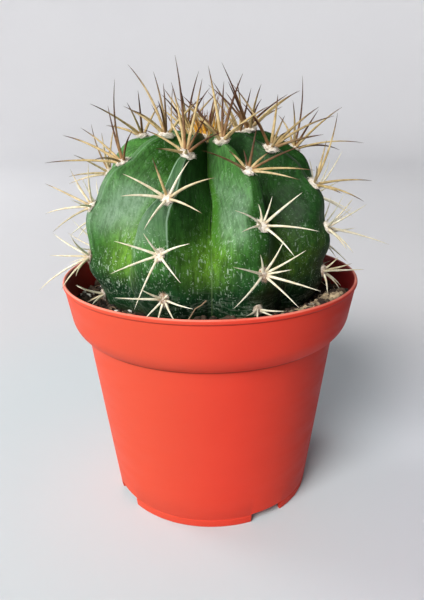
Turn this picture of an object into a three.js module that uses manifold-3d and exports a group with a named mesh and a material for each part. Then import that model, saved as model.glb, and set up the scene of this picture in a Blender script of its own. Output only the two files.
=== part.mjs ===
// A round ribbed cactus in a plastic nursery pot, in millimetres.
// +Z is up, the pot stands on z = 0 round the Z axis, and the front looks along -Y.
// Azimuths are in degrees from the front (-Y) towards +X.
import * as THREE from "three";
import { mergeVertices } from "three/addons/utils/BufferGeometryUtils.js";
import Module from "manifold-3d";

const wasm = await Module();
wasm.setup();

// Pot
const potHeight = 83;
const rimRadius = 52.5;
const collarTopRadius = 52.0;
const collarTopHeight = 81.3;
const collarBottomRadius = 50.1;
const collarBottomHeight = 70.2;
const creaseRadius = 45.0;
const creaseHeight = 63.2;
const footRadius = 37.0;
const wall = 0.9;
const footRing = 1.4;
const plateUnderside = 3.8;
const plateTop = 5.0;
const notchCount = 4;
const notchAzimuth = 31.5;
const notchWidth = 13;
const notchHeight = 3.6;
const notchReach = 8;
const drainRadius = 3.5;
const middleDrainRadius = 4;
const drainCircle = 25;
const drainSides = 20;
const potSides = 64;

// Soil
const soilGap = 0.38;
const soilInset = wall + soilGap;
const soilLevel = 73.2;
const frontRise = 4.3;
const heapRise = 6.2;
const heapAzimuth = 56;
const frontSpread = 55;
const heapSpread = 24;
const heapRadii = [37, 46];
const waveHeight = 0.45;
const rippleHeight = 0.35;
const soilSides = 48;

// Cactus body
const bodyX = -0.5;
const bodyY = -1.0;
const bodyRadius = 43.3;
const widestHeight = 95.9;
const crownRise = 37.2;
const crownPower = 2.2;
const baseDrop = 38.3;
const bodyBottom = 64;
const apexDip = 5;
const apexDipRadius = 15;
const chinSwell = 0.9;
const chinBelow = 4.2;
const chinLength = 3.4;
const areoleNick = 1.8;
const nickAbove = 2.2;
const nickLength = 2.6;
// depth of the grooves at shares of the way up the skin, from the bottom to the apex
const grooveDepths = [
  [0, 2.4],
  [0.3, 5.8],
  [0.48, 13],
  [0.7, 13.5],
  [0.88, 9],
  [1, 0.8],
];
const crestBand = 0.13;
const broadBand = 0.7;
const flankPower = 1.4;
// shares of the way up between which the flanks go from round to straight
const leftStraightening = [0.3, 0.5];
const rightStraightening = [0.05, 0.4];
const broadNarrowing = [0.42, 0.63];
const roundPower = 1.9;
const ribAzimuths = [-66, -19, 22, 64, 108, 155, 202, 249];
const ribCount = ribAzimuths.length;
// turn of each rib near the crown, and the shares of the way up between which it turns
const crownTurns = [
  [7, 0.5, 0.7],
  [5.5, 0.5, 0.74],
  [-10, 0.64, 0.8],
  [-13, 0.64, 0.76],
  [4, 0.6, 0.8],
  [-5, 0.6, 0.8],
  [5, 0.6, 0.8],
  [-4, 0.6, 0.8],
];
const backAzimuths = [70, 100];
const backSwell = 3.2;
const backSwellShare = 0.69;
const backSwellSpread = 0.13;
const columnPlaces = [-1, -0.7, -0.42, -crestBand, 0, crestBand, 0.42, 0.7];
const bodyRows = 28;
const bodyGap = 0.35;

// Areoles: heights on the crests, with neighbouring ribs half a step apart
const heightsA = [131.3, 123.6, 109.8, 93.4, 79.7];
const heightsB = [126.5, 115.0, 99.6, 85.3];
const heightsC = [129.6, 121.9, 107.4, 92.8, 80.8];
const heightsD = [127.4, 116.2, 102.5, 87.8];
const heightsOdd = [131.3, 123.2, 108.6, 93.4, 79.8];
const heightsEven = [128.0, 116.5, 102.0, 87.0];
const areoleHeights = [
  heightsA,
  heightsB,
  heightsC,
  heightsD,
  heightsOdd,
  heightsEven,
  heightsOdd,
  heightsEven,
];
const padWidth = 3.4;
const padLength = 4.4;
const padThickness = 2.0;
const padSeat = 0.55;

// Spines
const spineSeat = 0.9;
const spineRootRadius = 0.5;
const spineMidRadius = 0.34;
const spineClearance = 1.05;
const padClearance = 3.2;
const skinClearance = 0.6;
const shortestSpine = 3;
const spineReach = 60;
const spineTop = 158;
const spineSag = 0.05;
const joinTolerance = 0.03;
const crownSpines = 12;
const crownLengths = [10, 17];
const crownLifts = [56, 78];
const tuftRadius = 5.2;
const tuftRise = 3.2;

// Spines seen from the front: turn from the rib's upward line, length, lift off the skin
const frontStars = {
  areole_a1: [
    [-104, 27, 55], [-82, 20, 72], [124, 16, 42], [-60, 20, 50], [170, 15, 35], [-130, 17, 34],
    [60, 18, 35],
  ],
  areole_a2: [
    [-150, 24, 26], [-108, 25, 30], [-94, 21, 35], [-57, 23, 35], [140, 14, 30], [70, 15, 35],
    [0, 24, 62],
  ],
  areole_a3: [[-60, 17, 28], [-125, 19, 28], [100, 12, 30], [175, 15, 30], [20, 14, 32], [-92, 18, 48]],
  areole_a4: [[-72, 18, 28], [-136, 26, 33], [110, 13, 28], [45, 14, 30], [172, 14, 30], [-100, 15, 45]],
  areole_a5: [[-70, 12, 30], [-120, 10, 32], [80, 11, 30], [30, 12, 34]],
  areole_b1: [
    [-16, 28, 55], [-24, 22, 45], [-40, 14, 35], [28, 14, 35], [6, 24, 38], [-88, 14, 30],
    [98, 14, 30], [-150, 12, 28], [160, 12, 28],
  ],
  areole_b2: [
    [88, 19, 30], [38, 12, 30], [-24, 12, 54], [-77, 14, 30], [-108, 13, 25], [-178, 16, 25],
    [123, 20, 26],
  ],
  areole_b3: [[-76, 13, 30], [-20, 9, 50], [74, 14, 29], [127, 14, 29], [-170, 18, 28], [-120, 15, 29]],
  areole_b4: [
    [-78, 14, 28], [-40, 8, 35], [45, 5, 29], [83, 14, 28], [133, 9, 30], [-176, 8, 30],
    [-137, 9, 30],
  ],
  areole_c1: [
    [-24, 22, 25], [0, 26, 45], [16, 20, 47], [36, 24, 45], [-75, 18, 38], [100, 17, 38],
    [160, 14, 35], [-130, 15, 33],
  ],
  areole_c2: [
    [-95, 19, 27], [-50, 8, 27], [0, 6, 30], [25, 12, 50], [75, 8, 35], [96, 18, 32],
    [130, 19, 25], [152, 17, 25],
  ],
  areole_c3: [
    [-76, 13, 30], [-18, 6, 27], [20, 8, 30], [59, 14, 30], [113, 16, 29], [158, 14, 26],
    [-108, 12, 30],
  ],
  areole_c4: [
    [-70, 15, 26], [-24, 8, 26], [20, 12, 25], [55, 14, 28], [80, 8, 28], [110, 17, 30],
    [150, 14, 32], [-116, 17, 28],
  ],
  areole_c5: [[-70, 9, 34], [-120, 7, 34], [75, 8, 34], [115, 7, 34]],
  areole_d1: [
    [-8, 23, 35], [52, 21, 38], [68, 14, 35], [96, 23, 35], [116, 23, 33], [-60, 17, 40],
    [160, 16, 32], [-130, 15, 32],
  ],
  areole_d2: [[124, 22, 30], [160, 17, 25], [52, 17, 30], [-80, 14, 30], [-140, 13, 30], [5, 22, 58]],
  areole_d3: [
    [82, 20, 29], [63, 15, 28], [123, 18, 30], [131, 26, 38], [170, 12, 27], [-70, 12, 30],
    [-130, 13, 30],
  ],
  areole_d4: [
    [50, 7, 25], [85, 13, 30], [96, 19, 32], [135, 10, 30], [160, 12, 27], [-150, 11, 22],
    [-70, 12, 30],
  ],
  areole_e2: [
    [-130, 24, 27], [-82, 26, 32], [-68, 16, 52], [-30, 18, 35], [60, 16, 32], [158, 25, 26],
    [0, 24, 62],
  ],
  areole_h1: [
    [-152, 14, 35], [48, 18, 45], [68, 17, 35], [96, 24, 30], [-80, 18, 35], [170, 14, 30],
  ],
};

const materials = {
  pot: new THREE.MeshStandardMaterial({ color: 0xe4532f, roughness: 0.5 }),
  soil: new THREE.MeshStandardMaterial({ color: 0x4b392b, roughness: 1 }),
  skin: new THREE.MeshStandardMaterial({ color: 0x3d7a3f, roughness: 0.55 }),
  spines: new THREE.MeshStandardMaterial({ color: 0xe3d6b4, roughness: 0.7 }),
  wool: new THREE.MeshStandardMaterial({ color: 0xe0a545, roughness: 1 }),
};

const root = new THREE.Group();

function radians(degrees) {
  return (degrees * Math.PI) / 180;
}

// A point at a radius and an azimuth round an upright axis.
function around(radius, azimuth, height, x = 0, y = 0) {
  const angle = radians(azimuth);
  return new THREE.Vector3(x + radius * Math.sin(angle), y - radius * Math.cos(angle), height);
}

// A geometry as a solid for booleans.
function solidOf(geometry) {
  const bare = geometry.clone();
  bare.deleteAttribute("normal");
  bare.deleteAttribute("uv");
  const merged = mergeVertices(bare, 1e-4);
  return new wasm.Manifold(
    new wasm.Mesh({
      numProp: 3,
      vertProperties: merged.attributes.position.array,
      triVerts: new Uint32Array(merged.index.array),
    }),
  );
}

// A solid as a geometry for a mesh.
function geometryOf(solid) {
  const mesh = solid.getMesh();
  const geometry = new THREE.BufferGeometry();
  geometry.setAttribute("position", new THREE.BufferAttribute(mesh.vertProperties, 3));
  geometry.setIndex(new THREE.BufferAttribute(mesh.triVerts, 1));
  geometry.computeVertexNormals();
  return geometry;
}

// Points and triangles as a geometry.
function geometryFrom(points, triangles) {
  const geometry = new THREE.BufferGeometry();
  const flat = points.flatMap((point) => [point.x, point.y, point.z]);
  geometry.setAttribute("position", new THREE.BufferAttribute(new Float32Array(flat), 3));
  geometry.setIndex(triangles);
  return geometry;
}

// A closed skin over rings of equal length, with a point at each end.
function closedRings(bottom, rings, top) {
  const points = [bottom, ...rings.flat(), top];
  const count = rings[0].length;
  const triangles = [];
  for (let j = 0; j < count; j += 1) {
    const next = (j + 1) % count;
    triangles.push(0, 1 + next, 1 + j);
    for (let i = 0; i + 1 < rings.length; i += 1) {
      const low = 1 + i * count;
      const high = low + count;
      triangles.push(low + j, low + next, high + next);
      triangles.push(low + j, high + next, high + j);
    }
    const last = 1 + (rings.length - 1) * count;
    triangles.push(last + j, last + next, points.length - 1);
  }
  return geometryFrom(points, triangles);
}

function addPart(name, solid, material) {
  if (solid.decompose().length !== 1) {
    throw new Error(`${name} is in ${solid.decompose().length} pieces`);
  }
  const mesh = new THREE.Mesh(geometryOf(solid), material);
  mesh.name = name;
  root.add(mesh);
}

// Pot: a turned thin wall, with drain holes and notches in the foot

// Outer radius of the pot's lower cone.
function coneRadius(height) {
  return footRadius + ((creaseRadius - footRadius) * height) / creaseHeight;
}

// Outer radius of the collar.
function collarRadius(height) {
  const rise = (height - collarBottomHeight) / (collarTopHeight - collarBottomHeight);
  return collarBottomRadius + (collarTopRadius - collarBottomRadius) * rise;
}

function potProfile() {
  return [
    [0, plateUnderside],
    [coneRadius(plateUnderside) - footRing, plateUnderside],
    [footRadius - footRing, 0],
    [footRadius - 0.2, 0],
    [footRadius + 0.02, 0.3],
    [creaseRadius, creaseHeight],
    [creaseRadius + 1.6, creaseHeight + 1.0],
    [creaseRadius + 3.4, creaseHeight + 2.9],
    [creaseRadius + 4.6, creaseHeight + 5.0],
    [collarBottomRadius, collarBottomHeight],
    [collarTopRadius, collarTopHeight],
    [rimRadius - 0.1, collarTopHeight + 0.3],
    [rimRadius, potHeight - 0.8],
    [rimRadius - 0.15, potHeight - 0.2],
    [rimRadius - 0.5, potHeight],
    [rimRadius - 0.95, potHeight - 0.15],
    [collarTopRadius - wall, potHeight - 0.8],
    [collarTopRadius - wall - 0.1, collarTopHeight],
    [collarBottomRadius - wall, collarBottomHeight],
    [creaseRadius + 3.7, creaseHeight + 5.2],
    [creaseRadius + 2.5, creaseHeight + 3.4],
    [creaseRadius + 0.9, creaseHeight + 1.8],
    [creaseRadius - wall, creaseHeight + 0.3],
    [coneRadius(plateTop) - wall, plateTop],
    [0, plateTop],
  ];
}

// An upright peg that cuts a drain hole through the base plate.
function drainHole(radius, centre) {
  const peg = new THREE.CylinderGeometry(radius, radius, 6, drainSides);
  peg.rotateX(Math.PI / 2);
  peg.translate(centre.x, centre.y, centre.z);
  return solidOf(peg);
}

function makePot() {
  const profile = potProfile().map(([radius, height]) => new THREE.Vector2(radius, height));
  const turned = new THREE.LatheGeometry(profile, potSides);
  turned.rotateX(Math.PI / 2);
  let pot = solidOf(turned);
  for (let i = 0; i < notchCount; i += 1) {
    const azimuth = notchAzimuth + (i * 360) / notchCount;
    const notch = new THREE.BoxGeometry(notchWidth, notchReach, 2 * notchHeight);
    notch.rotateZ(radians(azimuth));
    const place = around(footRadius, azimuth, 0);
    notch.translate(place.x, place.y, place.z);
    pot = pot.subtract(solidOf(notch));
    pot = pot.subtract(drainHole(drainRadius, around(drainCircle, azimuth, plateTop - 1)));
  }
  return pot.subtract(drainHole(middleDrainRadius, around(0, 0, plateTop - 1)));
}

// Cactus body: an egg-shaped profile pushed in between eight ribs

// Arc table of the crest line, from the bottom up to the apex.
function crestPoint(angle) {
  const upper = angle > 0;
  const power = upper ? crownPower : 2;
  const height = upper ? crownRise : baseDrop;
  const across = Math.pow(Math.abs(Math.cos(angle)), 2 / power);
  const up = Math.sign(angle) * Math.pow(Math.abs(Math.sin(angle)), 2 / power);
  const radius = bodyRadius * across;
  const dip = apexDip * Math.pow(1 - Math.min(radius / apexDipRadius, 1), 2);
  return [radius, widestHeight + height * up - dip];
}

const lowestAngle = -Math.asin((widestHeight - bodyBottom) / baseDrop);
const arcSteps = 600;
const arcTable = [];
for (let i = 0; i <= arcSteps; i += 1) {
  const angle = lowestAngle + ((Math.PI / 2 - lowestAngle) * i) / arcSteps;
  const [radius, height] = crestPoint(angle);
  const before = arcTable[i - 1];
  const step = before ? Math.hypot(radius - before.radius, height - before.height) : 0;
  arcTable.push({ radius, height, arc: (before ? before.arc : 0) + step });
}
const wholeArc = arcTable[arcSteps].arc;
const apexHeight = arcTable[arcSteps].height;

// Radius, height and outward slope of the crest line at an arc length.
function crestAt(arc) {
  const wanted = Math.min(Math.max(arc, 0), wholeArc);
  const i = Math.max(1, arcTable.findIndex((entry) => entry.arc >= wanted - 1e-9));
  const low = arcTable[i - 1];
  const high = arcTable[i];
  const part = (wanted - low.arc) / Math.max(high.arc - low.arc, 1e-9);
  const length = Math.hypot(high.radius - low.radius, high.height - low.height) || 1;
  return {
    radius: low.radius + (high.radius - low.radius) * part,
    height: low.height + (high.height - low.height) * part,
    outward: (high.height - low.height) / length,
    upward: -(high.radius - low.radius) / length,
  };
}

// Arc length of the crest line at a height, on the outer side of the crown.
function arcAtHeight(height) {
  return arcTable.find((entry) => entry.height >= height).arc;
}

// How far a value has gone from one end of a range to the other, from 0 to 1.
function progress(value, from, to) {
  return Math.min(Math.max((value - from) / (to - from), 0), 1);
}

// Depth of the grooves below the crest at a share of the way up.
function grooveDepth(share) {
  const i = Math.max(1, grooveDepths.findIndex(([place]) => place >= share));
  const [lowPlace, lowDepth] = grooveDepths[i - 1];
  const [highPlace, highDepth] = grooveDepths[i];
  return lowDepth + (highDepth - lowDepth) * progress(share, lowPlace, highPlace);
}

// Fall of the skin from the crest (0) to the groove (1): round low down, and a straight flank
// from the edge of the crest higher up. On the left the crest broadens below the shoulder.
function skinFall(across, share) {
  const left = across < 0;
  const straight = progress(share, ...(left ? leftStraightening : rightStraightening));
  const broad = left ? 1 - progress(share, ...broadNarrowing) : 0;
  const edge = crestBand + (broadBand - crestBand) * broad;
  const flank = 1 - Math.pow(1 - progress(Math.abs(across), edge, 1), flankPower);
  const round = Math.pow(Math.abs(across), roundPower);
  return round + (flank - round) * straight;
}

// Swelling of a crest below each areole, and the nick above it.
function tubercle(arc, areoleArcs) {
  let push = 0;
  for (const place of areoleArcs) {
    push += chinSwell * Math.exp(-Math.pow((arc - place + chinBelow) / chinLength, 2));
    push -= areoleNick * Math.exp(-Math.pow((arc - place - nickAbove) / nickLength, 2));
  }
  return push;
}

const areoleArcs = areoleHeights.map((heights) => heights.map(arcAtHeight));

// Angle between two azimuths, from 0 to 180.
function azimuthGap(first, second) {
  return Math.abs(((first - second + 540) % 360) - 180);
}

// Azimuth of a rib's crest at a share of the way up.
function ribAzimuth(rib, share) {
  const [turn, start, end] = crownTurns[rib];
  return ribAzimuths[rib] + turn * progress(share, start, end);
}

// A point on the skin: rib number, place across it from -1 to 1, and arc length up it.
function skinPoint(rib, across, arc) {
  const crest = crestAt(arc);
  const share = arc / wholeArc;
  const here = ribAzimuth(rib, share);
  const side = (rib + (across < 0 ? ribCount - 1 : 1)) % ribCount;
  const azimuth = here + (across * azimuthGap(ribAzimuth(side, share), here)) / 2;
  const crestShare = Math.pow(Math.max(0, 1 - Math.abs(across) * 1.1), 1.4);
  const behind = progress(azimuthGap(azimuth, 0), ...backAzimuths);
  const swell = backSwell * behind * Math.exp(-Math.pow((share - backSwellShare) / backSwellSpread, 2));
  const fall = grooveDepth(share) * skinFall(across, share);
  const push = tubercle(arc, areoleArcs[rib]) * crestShare + swell - fall;
  const radius = Math.max(crest.radius + push * crest.outward, 0.4);
  return around(radius, azimuth, crest.height + push * crest.upward, bodyX, bodyY);
}

function bodyRings() {
  const rings = [];
  for (let row = 0; row < bodyRows; row += 1) {
    const arc = (wholeArc * row) / bodyRows;
    const ring = [];
    for (let rib = 0; rib < ribCount; rib += 1) {
      for (const across of columnPlaces) {
        const point = skinPoint(rib, across, arc);
        if (row === 0) point.z = bodyBottom;
        ring.push(point);
      }
    }
    rings.push(ring);
  }
  return rings;
}

// The body's closed skin, grown outwards by a gap.
function bodyGeometry(gap) {
  const bottom = new THREE.Vector3(bodyX, bodyY, bodyBottom);
  const top = new THREE.Vector3(bodyX, bodyY, apexHeight);
  const geometry = closedRings(bottom, bodyRings(), top);
  geometry.computeVertexNormals();
  const place = geometry.attributes.position;
  const normal = geometry.attributes.normal;
  for (let i = 0; i < place.count; i += 1) {
    const floorPoint = place.getZ(i) <= bodyBottom + 1e-6;
    const slant = floorPoint ? Math.hypot(normal.getX(i), normal.getY(i)) || 1 : 1;
    place.setX(i, place.getX(i) + (gap * normal.getX(i)) / slant);
    place.setY(i, place.getY(i) + (gap * normal.getY(i)) / slant);
    if (!floorPoint) place.setZ(i, place.getZ(i) + gap * normal.getZ(i));
  }
  place.setXYZ(0, bodyX, bodyY, bodyBottom);
  return geometry;
}

// Soil: fills the pot to an uneven top, heaped at the front right

function soilTop(azimuth, radius) {
  const front = frontRise * Math.exp(-Math.pow(azimuthGap(azimuth, 0) / frontSpread, 2));
  const heapShape = Math.exp(-Math.pow(azimuthGap(azimuth, heapAzimuth) / heapSpread, 2));
  const heap = heapRise * heapShape * progress(radius, ...heapRadii);
  const wave = waveHeight * Math.sin(radians(azimuth * 5 + radius * 9));
  const ripple = rippleHeight * Math.sin(radians(azimuth * 11));
  return soilLevel + front + heap + wave + ripple;
}

// Radius of the soil's side inside the collar.
function soilSide(height) {
  return collarRadius(height) - soilInset;
}

function makeSoil() {
  const sides = [
    [coneRadius(plateTop) - soilInset, plateTop],
    [creaseRadius - soilInset, creaseHeight + 0.6],
    [creaseRadius + 2.0, creaseHeight + 3.9],
    [soilSide(collarBottomHeight) - 0.1, collarBottomHeight],
  ];
  const topRadii = [49.5, 47.4, 44.4, 40.8, 36];
  const azimuths = Array.from({ length: soilSides }, (_, j) => (360 * j) / soilSides);
  const sideRings = sides.map(([radius, height]) =>
    azimuths.map((azimuth) => around(radius, azimuth, height)),
  );
  const topRings = topRadii.map((wanted) =>
    azimuths.map((azimuth) => {
      const height = soilTop(azimuth, wanted);
      const radius = wanted === topRadii[0] ? soilSide(height) : wanted;
      return around(radius, azimuth, height);
    }),
  );
  const rings = [...sideRings, ...topRings];
  const bottom = new THREE.Vector3(0, 0, plateTop);
  const top = new THREE.Vector3(0, 0, soilLevel);
  const heap = solidOf(closedRings(bottom, rings, top));
  return heap.subtract(solidOf(bodyGeometry(bodyGap)));
}

// Areoles: a felt pad on the crest with a star of spines grown from it

// Where an areole sits, with its upward, sideways and outward directions.
function areoleFrame(rib, arc) {
  const origin = skinPoint(rib, 0, arc);
  const up = skinPoint(rib, 0, arc + 2.5).sub(skinPoint(rib, 0, arc - 2.5));
  const crest = crestAt(arc);
  const azimuth = ribAzimuth(rib, arc / wholeArc);
  const smoothUp = around(-crest.upward, azimuth, crest.outward);
  up.normalize().add(smoothUp.multiplyScalar(2)).normalize();
  const angle = radians(azimuth);
  const side = new THREE.Vector3(Math.cos(angle), Math.sin(angle), 0);
  const out = new THREE.Vector3().crossVectors(side, up).normalize();
  return { origin, up, side, out };
}

function padGeometry(frame) {
  const pad = new THREE.SphereGeometry(1, 7, 4);
  const basis = new THREE.Matrix4().makeBasis(
    frame.side.clone().multiplyScalar(padWidth / 2),
    frame.up.clone().multiplyScalar(padLength / 2),
    frame.out.clone().multiplyScalar(padThickness / 2),
  );
  const seat = frame.origin.clone().addScaledVector(frame.out, padSeat);
  pad.applyMatrix4(basis);
  pad.translate(seat.x, seat.y, seat.z);
  return pad;
}

// Root, bend and tip of a spine from its turn, length and lift.
function spineLine(frame, [turn, length, lift]) {
  const along = new THREE.Vector3();
  along.addScaledVector(frame.up, Math.cos(radians(turn)) * Math.cos(radians(lift)));
  along.addScaledVector(frame.side, Math.sin(radians(turn)) * Math.cos(radians(lift)));
  along.addScaledVector(frame.out, Math.sin(radians(lift)));
  const start = frame.origin.clone().addScaledVector(frame.out, spineSeat);
  const reachX = (Math.sign(along.x) * spineReach - start.x) / along.x;
  const reachY = (Math.sign(along.y) * spineReach - start.y) / along.y;
  const reachZ = along.z > 0 ? (spineTop - start.z) / along.z : length;
  const far = Math.min(length, reachX, reachY, reachZ);
  const tip = start.clone().addScaledVector(along, far);
  const bend = start.clone().addScaledVector(along, far * 0.5);
  bend.addScaledVector(frame.out, far * spineSag);
  return { start, bend, tip };
}

// Closest distance between two straight pieces.
function pieceDistance(a0, a1, b0, b1) {
  const u = a1.clone().sub(a0);
  const v = b1.clone().sub(b0);
  const w = a0.clone().sub(b0);
  const uu = u.dot(u);
  const uv = u.dot(v);
  const vv = v.dot(v);
  const bottom = uu * vv - uv * uv;
  let s = bottom > 1e-9 ? (uv * v.dot(w) - vv * u.dot(w)) / bottom : 0;
  s = Math.min(Math.max(s, 0), 1);
  const t = Math.min(Math.max((s * uv + v.dot(w)) / vv, 0), 1);
  s = Math.min(Math.max((t * uv - u.dot(w)) / uu, 0), 1);
  const gap = w.addScaledVector(u, s).addScaledVector(v, -t);
  return gap.length();
}

// Whether a point stays outside the crests of the body, the soil and the pot.
function pointIsFree(point) {
  const radius = Math.hypot(point.x, point.y);
  const azimuth = (Math.atan2(point.x, -point.y) * 180) / Math.PI;
  const inPot = radius <= collarBottomRadius - wall - 0.8;
  const overRim = !inPot && radius < rimRadius + 1.1;
  if (overRim && point.z < potHeight + 1) return false;
  if (inPot && point.z < soilTop(azimuth, radius) + 1.2) return false;
  const across = Math.hypot(point.x - bodyX, point.y - bodyY) / (bodyRadius + skinClearance);
  const rise = Math.abs(point.z - widestHeight);
  const upper = point.z > widestHeight;
  const height = (upper ? crownRise : baseDrop) + skinClearance;
  const power = upper ? crownPower : 2;
  return Math.pow(across, power) + Math.pow(rise / height, power) > 1;
}

function pointOn(line, share) {
  if (share < 0.5) return line.start.clone().lerp(line.bend, share * 2);
  return line.bend.clone().lerp(line.tip, share * 2 - 1);
}

const placedLines = [];
const placedPads = [];

// Whether a spine clears everything that isn't its own areole's.
function lineIsFree(name, line) {
  for (const share of [0.25, 0.4, 0.55, 0.7, 0.85, 1]) {
    if (!pointIsFree(pointOn(line, share))) return false;
  }
  for (const pad of placedPads) {
    if (pad.name === name) continue;
    const near = Math.min(
      pieceDistance(line.start, line.bend, pad.place, pad.place.clone().addScalar(0.01)),
      pieceDistance(line.bend, line.tip, pad.place, pad.place.clone().addScalar(0.01)),
    );
    if (near < padClearance) return false;
  }
  for (const other of placedLines) {
    if (other.name === name) continue;
    const near = Math.min(
      pieceDistance(line.start, line.bend, other.start, other.bend),
      pieceDistance(line.start, line.bend, other.bend, other.tip),
      pieceDistance(line.bend, line.tip, other.start, other.bend),
      pieceDistance(line.bend, line.tip, other.bend, other.tip),
    );
    if (near < spineClearance) return false;
  }
  return true;
}

// A spine bent clear of its neighbours: turned, then lifted, then shortened.
function placeSpine(name, frame, [turn, length, lift]) {
  for (const shorter of [1, 0.9, 0.8, 0.65, 0.5]) {
    for (const higher of [0, 5, -4, 10, 16, 24]) {
      for (const aside of [0, 4, -4, 8, -8, 13, -13]) {
        const line = spineLine(frame, [turn + aside, length * shorter, lift + higher]);
        if (line.start.distanceTo(line.tip) < shortestSpine) continue;
        if (lineIsFree(name, line)) {
          placedLines.push({ name, ...line });
          return line;
        }
      }
    }
  }
  return null;
}

// A three-sided tapering prism from the root through the bend to the tip.
function spineSolid(line, rootRadius = spineRootRadius, midRadius = spineMidRadius) {
  const along = line.tip.clone().sub(line.start).normalize();
  const helper = Math.abs(along.z) < 0.9 ? new THREE.Vector3(0, 0, 1) : new THREE.Vector3(1, 0, 0);
  const side = new THREE.Vector3().crossVectors(helper, along).normalize();
  const other = new THREE.Vector3().crossVectors(along, side);
  const ringAt = (centre, radius) =>
    [0, 120, 240].map((degrees) =>
      centre
        .clone()
        .addScaledVector(side, radius * Math.cos(radians(degrees)))
        .addScaledVector(other, radius * Math.sin(radians(degrees))),
    );
  const deep = line.start.clone().addScaledVector(along, -0.5);
  const rings = [ringAt(line.start, rootRadius), ringAt(line.bend, midRadius)];
  return solidOf(closedRings(deep, rings, line.tip));
}

let seed = 41;
function random() {
  seed = (seed * 16807) % 2147483647;
  return seed / 2147483647;
}

// The value at a share of the way from one end of a range to the other.
function between([low, high], share) {
  return low + (high - low) * share;
}

// The common star: a ring of radials and one stouter spine standing in the middle.
function commonStar(height) {
  const top = height > 126;
  const upper = height > 112;
  const low = height < 84;
  const count = low ? 5 : 7;
  const length = top ? 18 : upper ? 17 : low ? 10 : 15;
  const lift = top ? 42 : upper ? 33 : 29;
  const star = [];
  for (let i = 0; i < count; i += 1) {
    const turn = (360 * (i + 0.5)) / count + 22 * (random() - 0.5);
    star.push([turn, length * (0.82 + 0.42 * random()), lift + 12 * (random() - 0.5)]);
  }
  if (!low) star.push([24 * (random() - 0.5), length * (1 + 0.3 * random()), 62]);
  return star;
}

const letters = ["a", "b", "c", "d", "e", "f", "g", "h"];
const clusters = [];
letters.forEach((letter, rib) => {
  areoleHeights[rib].forEach((height, level) => {
    const frame = areoleFrame(rib, areoleArcs[rib][level]);
    const name = `areole_${letter}${level + 1}`;
    clusters.push({ name, frame, height, lines: [] });
    placedPads.push({ name, place: frame.origin });
  });
});

// The crown's young spines stand first, so that nothing crosses them.
const crownPlace = new THREE.Vector3(bodyX, bodyY, apexHeight);
const crownFrame = {
  origin: crownPlace,
  up: new THREE.Vector3(0, 1, 0),
  side: new THREE.Vector3(1, 0, 0),
  out: new THREE.Vector3(0, 0, 1),
};
const crownLines = [];
for (let i = 0; i < crownSpines; i += 1) {
  const turn = (360 * i) / crownSpines + 10;
  const lift = i === 0 ? 86 : between(crownLifts, random());
  const line = spineLine(crownFrame, [turn, between(crownLengths, random()), lift]);
  line.start.addScaledVector(line.tip.clone().sub(line.start).normalize(), 0.4);
  placedLines.push({ name: "crown_wool", ...line });
  crownLines.push(line);
}

// Measured stars are placed before the common ones.
for (const measured of [true, false]) {
  for (const cluster of clusters) {
    const own = frontStars[cluster.name];
    if (Boolean(own) !== measured) continue;
    for (const spine of own || commonStar(cluster.height)) {
      const line = placeSpine(cluster.name, cluster.frame, spine);
      if (line) cluster.lines.push(line);
    }
  }
}

const grownBody = solidOf(bodyGeometry(bodyGap));

function makeAreole(cluster) {
  const pieces = [solidOf(padGeometry(cluster.frame))];
  for (const line of cluster.lines) pieces.push(spineSolid(line));
  return wasm.Manifold.union(pieces).subtract(grownBody).asOriginal().simplify(joinTolerance);
}

function makeCrown() {
  const tuft = new THREE.SphereGeometry(1, 12, 6);
  tuft.rotateX(Math.PI / 2);
  tuft.scale(tuftRadius, tuftRadius, tuftRise);
  tuft.translate(crownPlace.x, crownPlace.y, crownPlace.z + 0.8);
  const pieces = [solidOf(tuft)];
  for (const line of crownLines) pieces.push(spineSolid(line, 0.55, 0.4));
  return wasm.Manifold.union(pieces).subtract(grownBody).asOriginal().simplify(joinTolerance);
}

addPart("pot", makePot(), materials.pot);
addPart("soil", makeSoil(), materials.soil);
addPart("cactus_body", solidOf(bodyGeometry(0)), materials.skin);
addPart("crown_wool", makeCrown(), materials.wool);
for (const cluster of clusters) {
  addPart(cluster.name, makeAreole(cluster), materials.spines);
}

export default root;
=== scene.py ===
# A round ribbed cactus in a red-orange plastic nursery pot, dressed round its solid frame.
# The dictionaries are in millimetres and degrees where no note says otherwise, the meshes in metres.
import math
import random

import bmesh
import bpy
from mathutils import Matrix, Vector, noise
from mathutils.bvhtree import BVHTree
from mathutils.kdtree import KDTree


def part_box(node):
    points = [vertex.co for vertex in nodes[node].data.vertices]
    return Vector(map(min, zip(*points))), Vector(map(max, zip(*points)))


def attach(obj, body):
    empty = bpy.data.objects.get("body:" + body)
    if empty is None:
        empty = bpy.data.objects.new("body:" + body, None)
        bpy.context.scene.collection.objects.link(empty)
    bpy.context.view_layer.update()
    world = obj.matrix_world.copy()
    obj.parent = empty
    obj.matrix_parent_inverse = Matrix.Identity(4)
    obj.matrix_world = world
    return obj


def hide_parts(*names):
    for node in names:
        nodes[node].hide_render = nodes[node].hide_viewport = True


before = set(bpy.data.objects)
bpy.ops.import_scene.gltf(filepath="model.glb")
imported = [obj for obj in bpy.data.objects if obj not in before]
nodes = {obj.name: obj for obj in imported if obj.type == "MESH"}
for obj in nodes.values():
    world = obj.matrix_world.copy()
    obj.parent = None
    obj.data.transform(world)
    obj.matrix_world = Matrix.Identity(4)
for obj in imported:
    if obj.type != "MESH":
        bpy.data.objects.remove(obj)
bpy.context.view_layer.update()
mm = 0.001


# Helpers for picking and joining pieces
def objectMode():
    bpy.ops.object.mode_set(mode="OBJECT")


def pick(*pieces):  # selects these alone, the first one active
    if bpy.context.mode != "OBJECT":
        objectMode()
    bpy.ops.object.select_all(action="DESELECT")
    for piece in pieces:
        piece.select_set(True)
    bpy.context.view_layer.objects.active = pieces[0]


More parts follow.
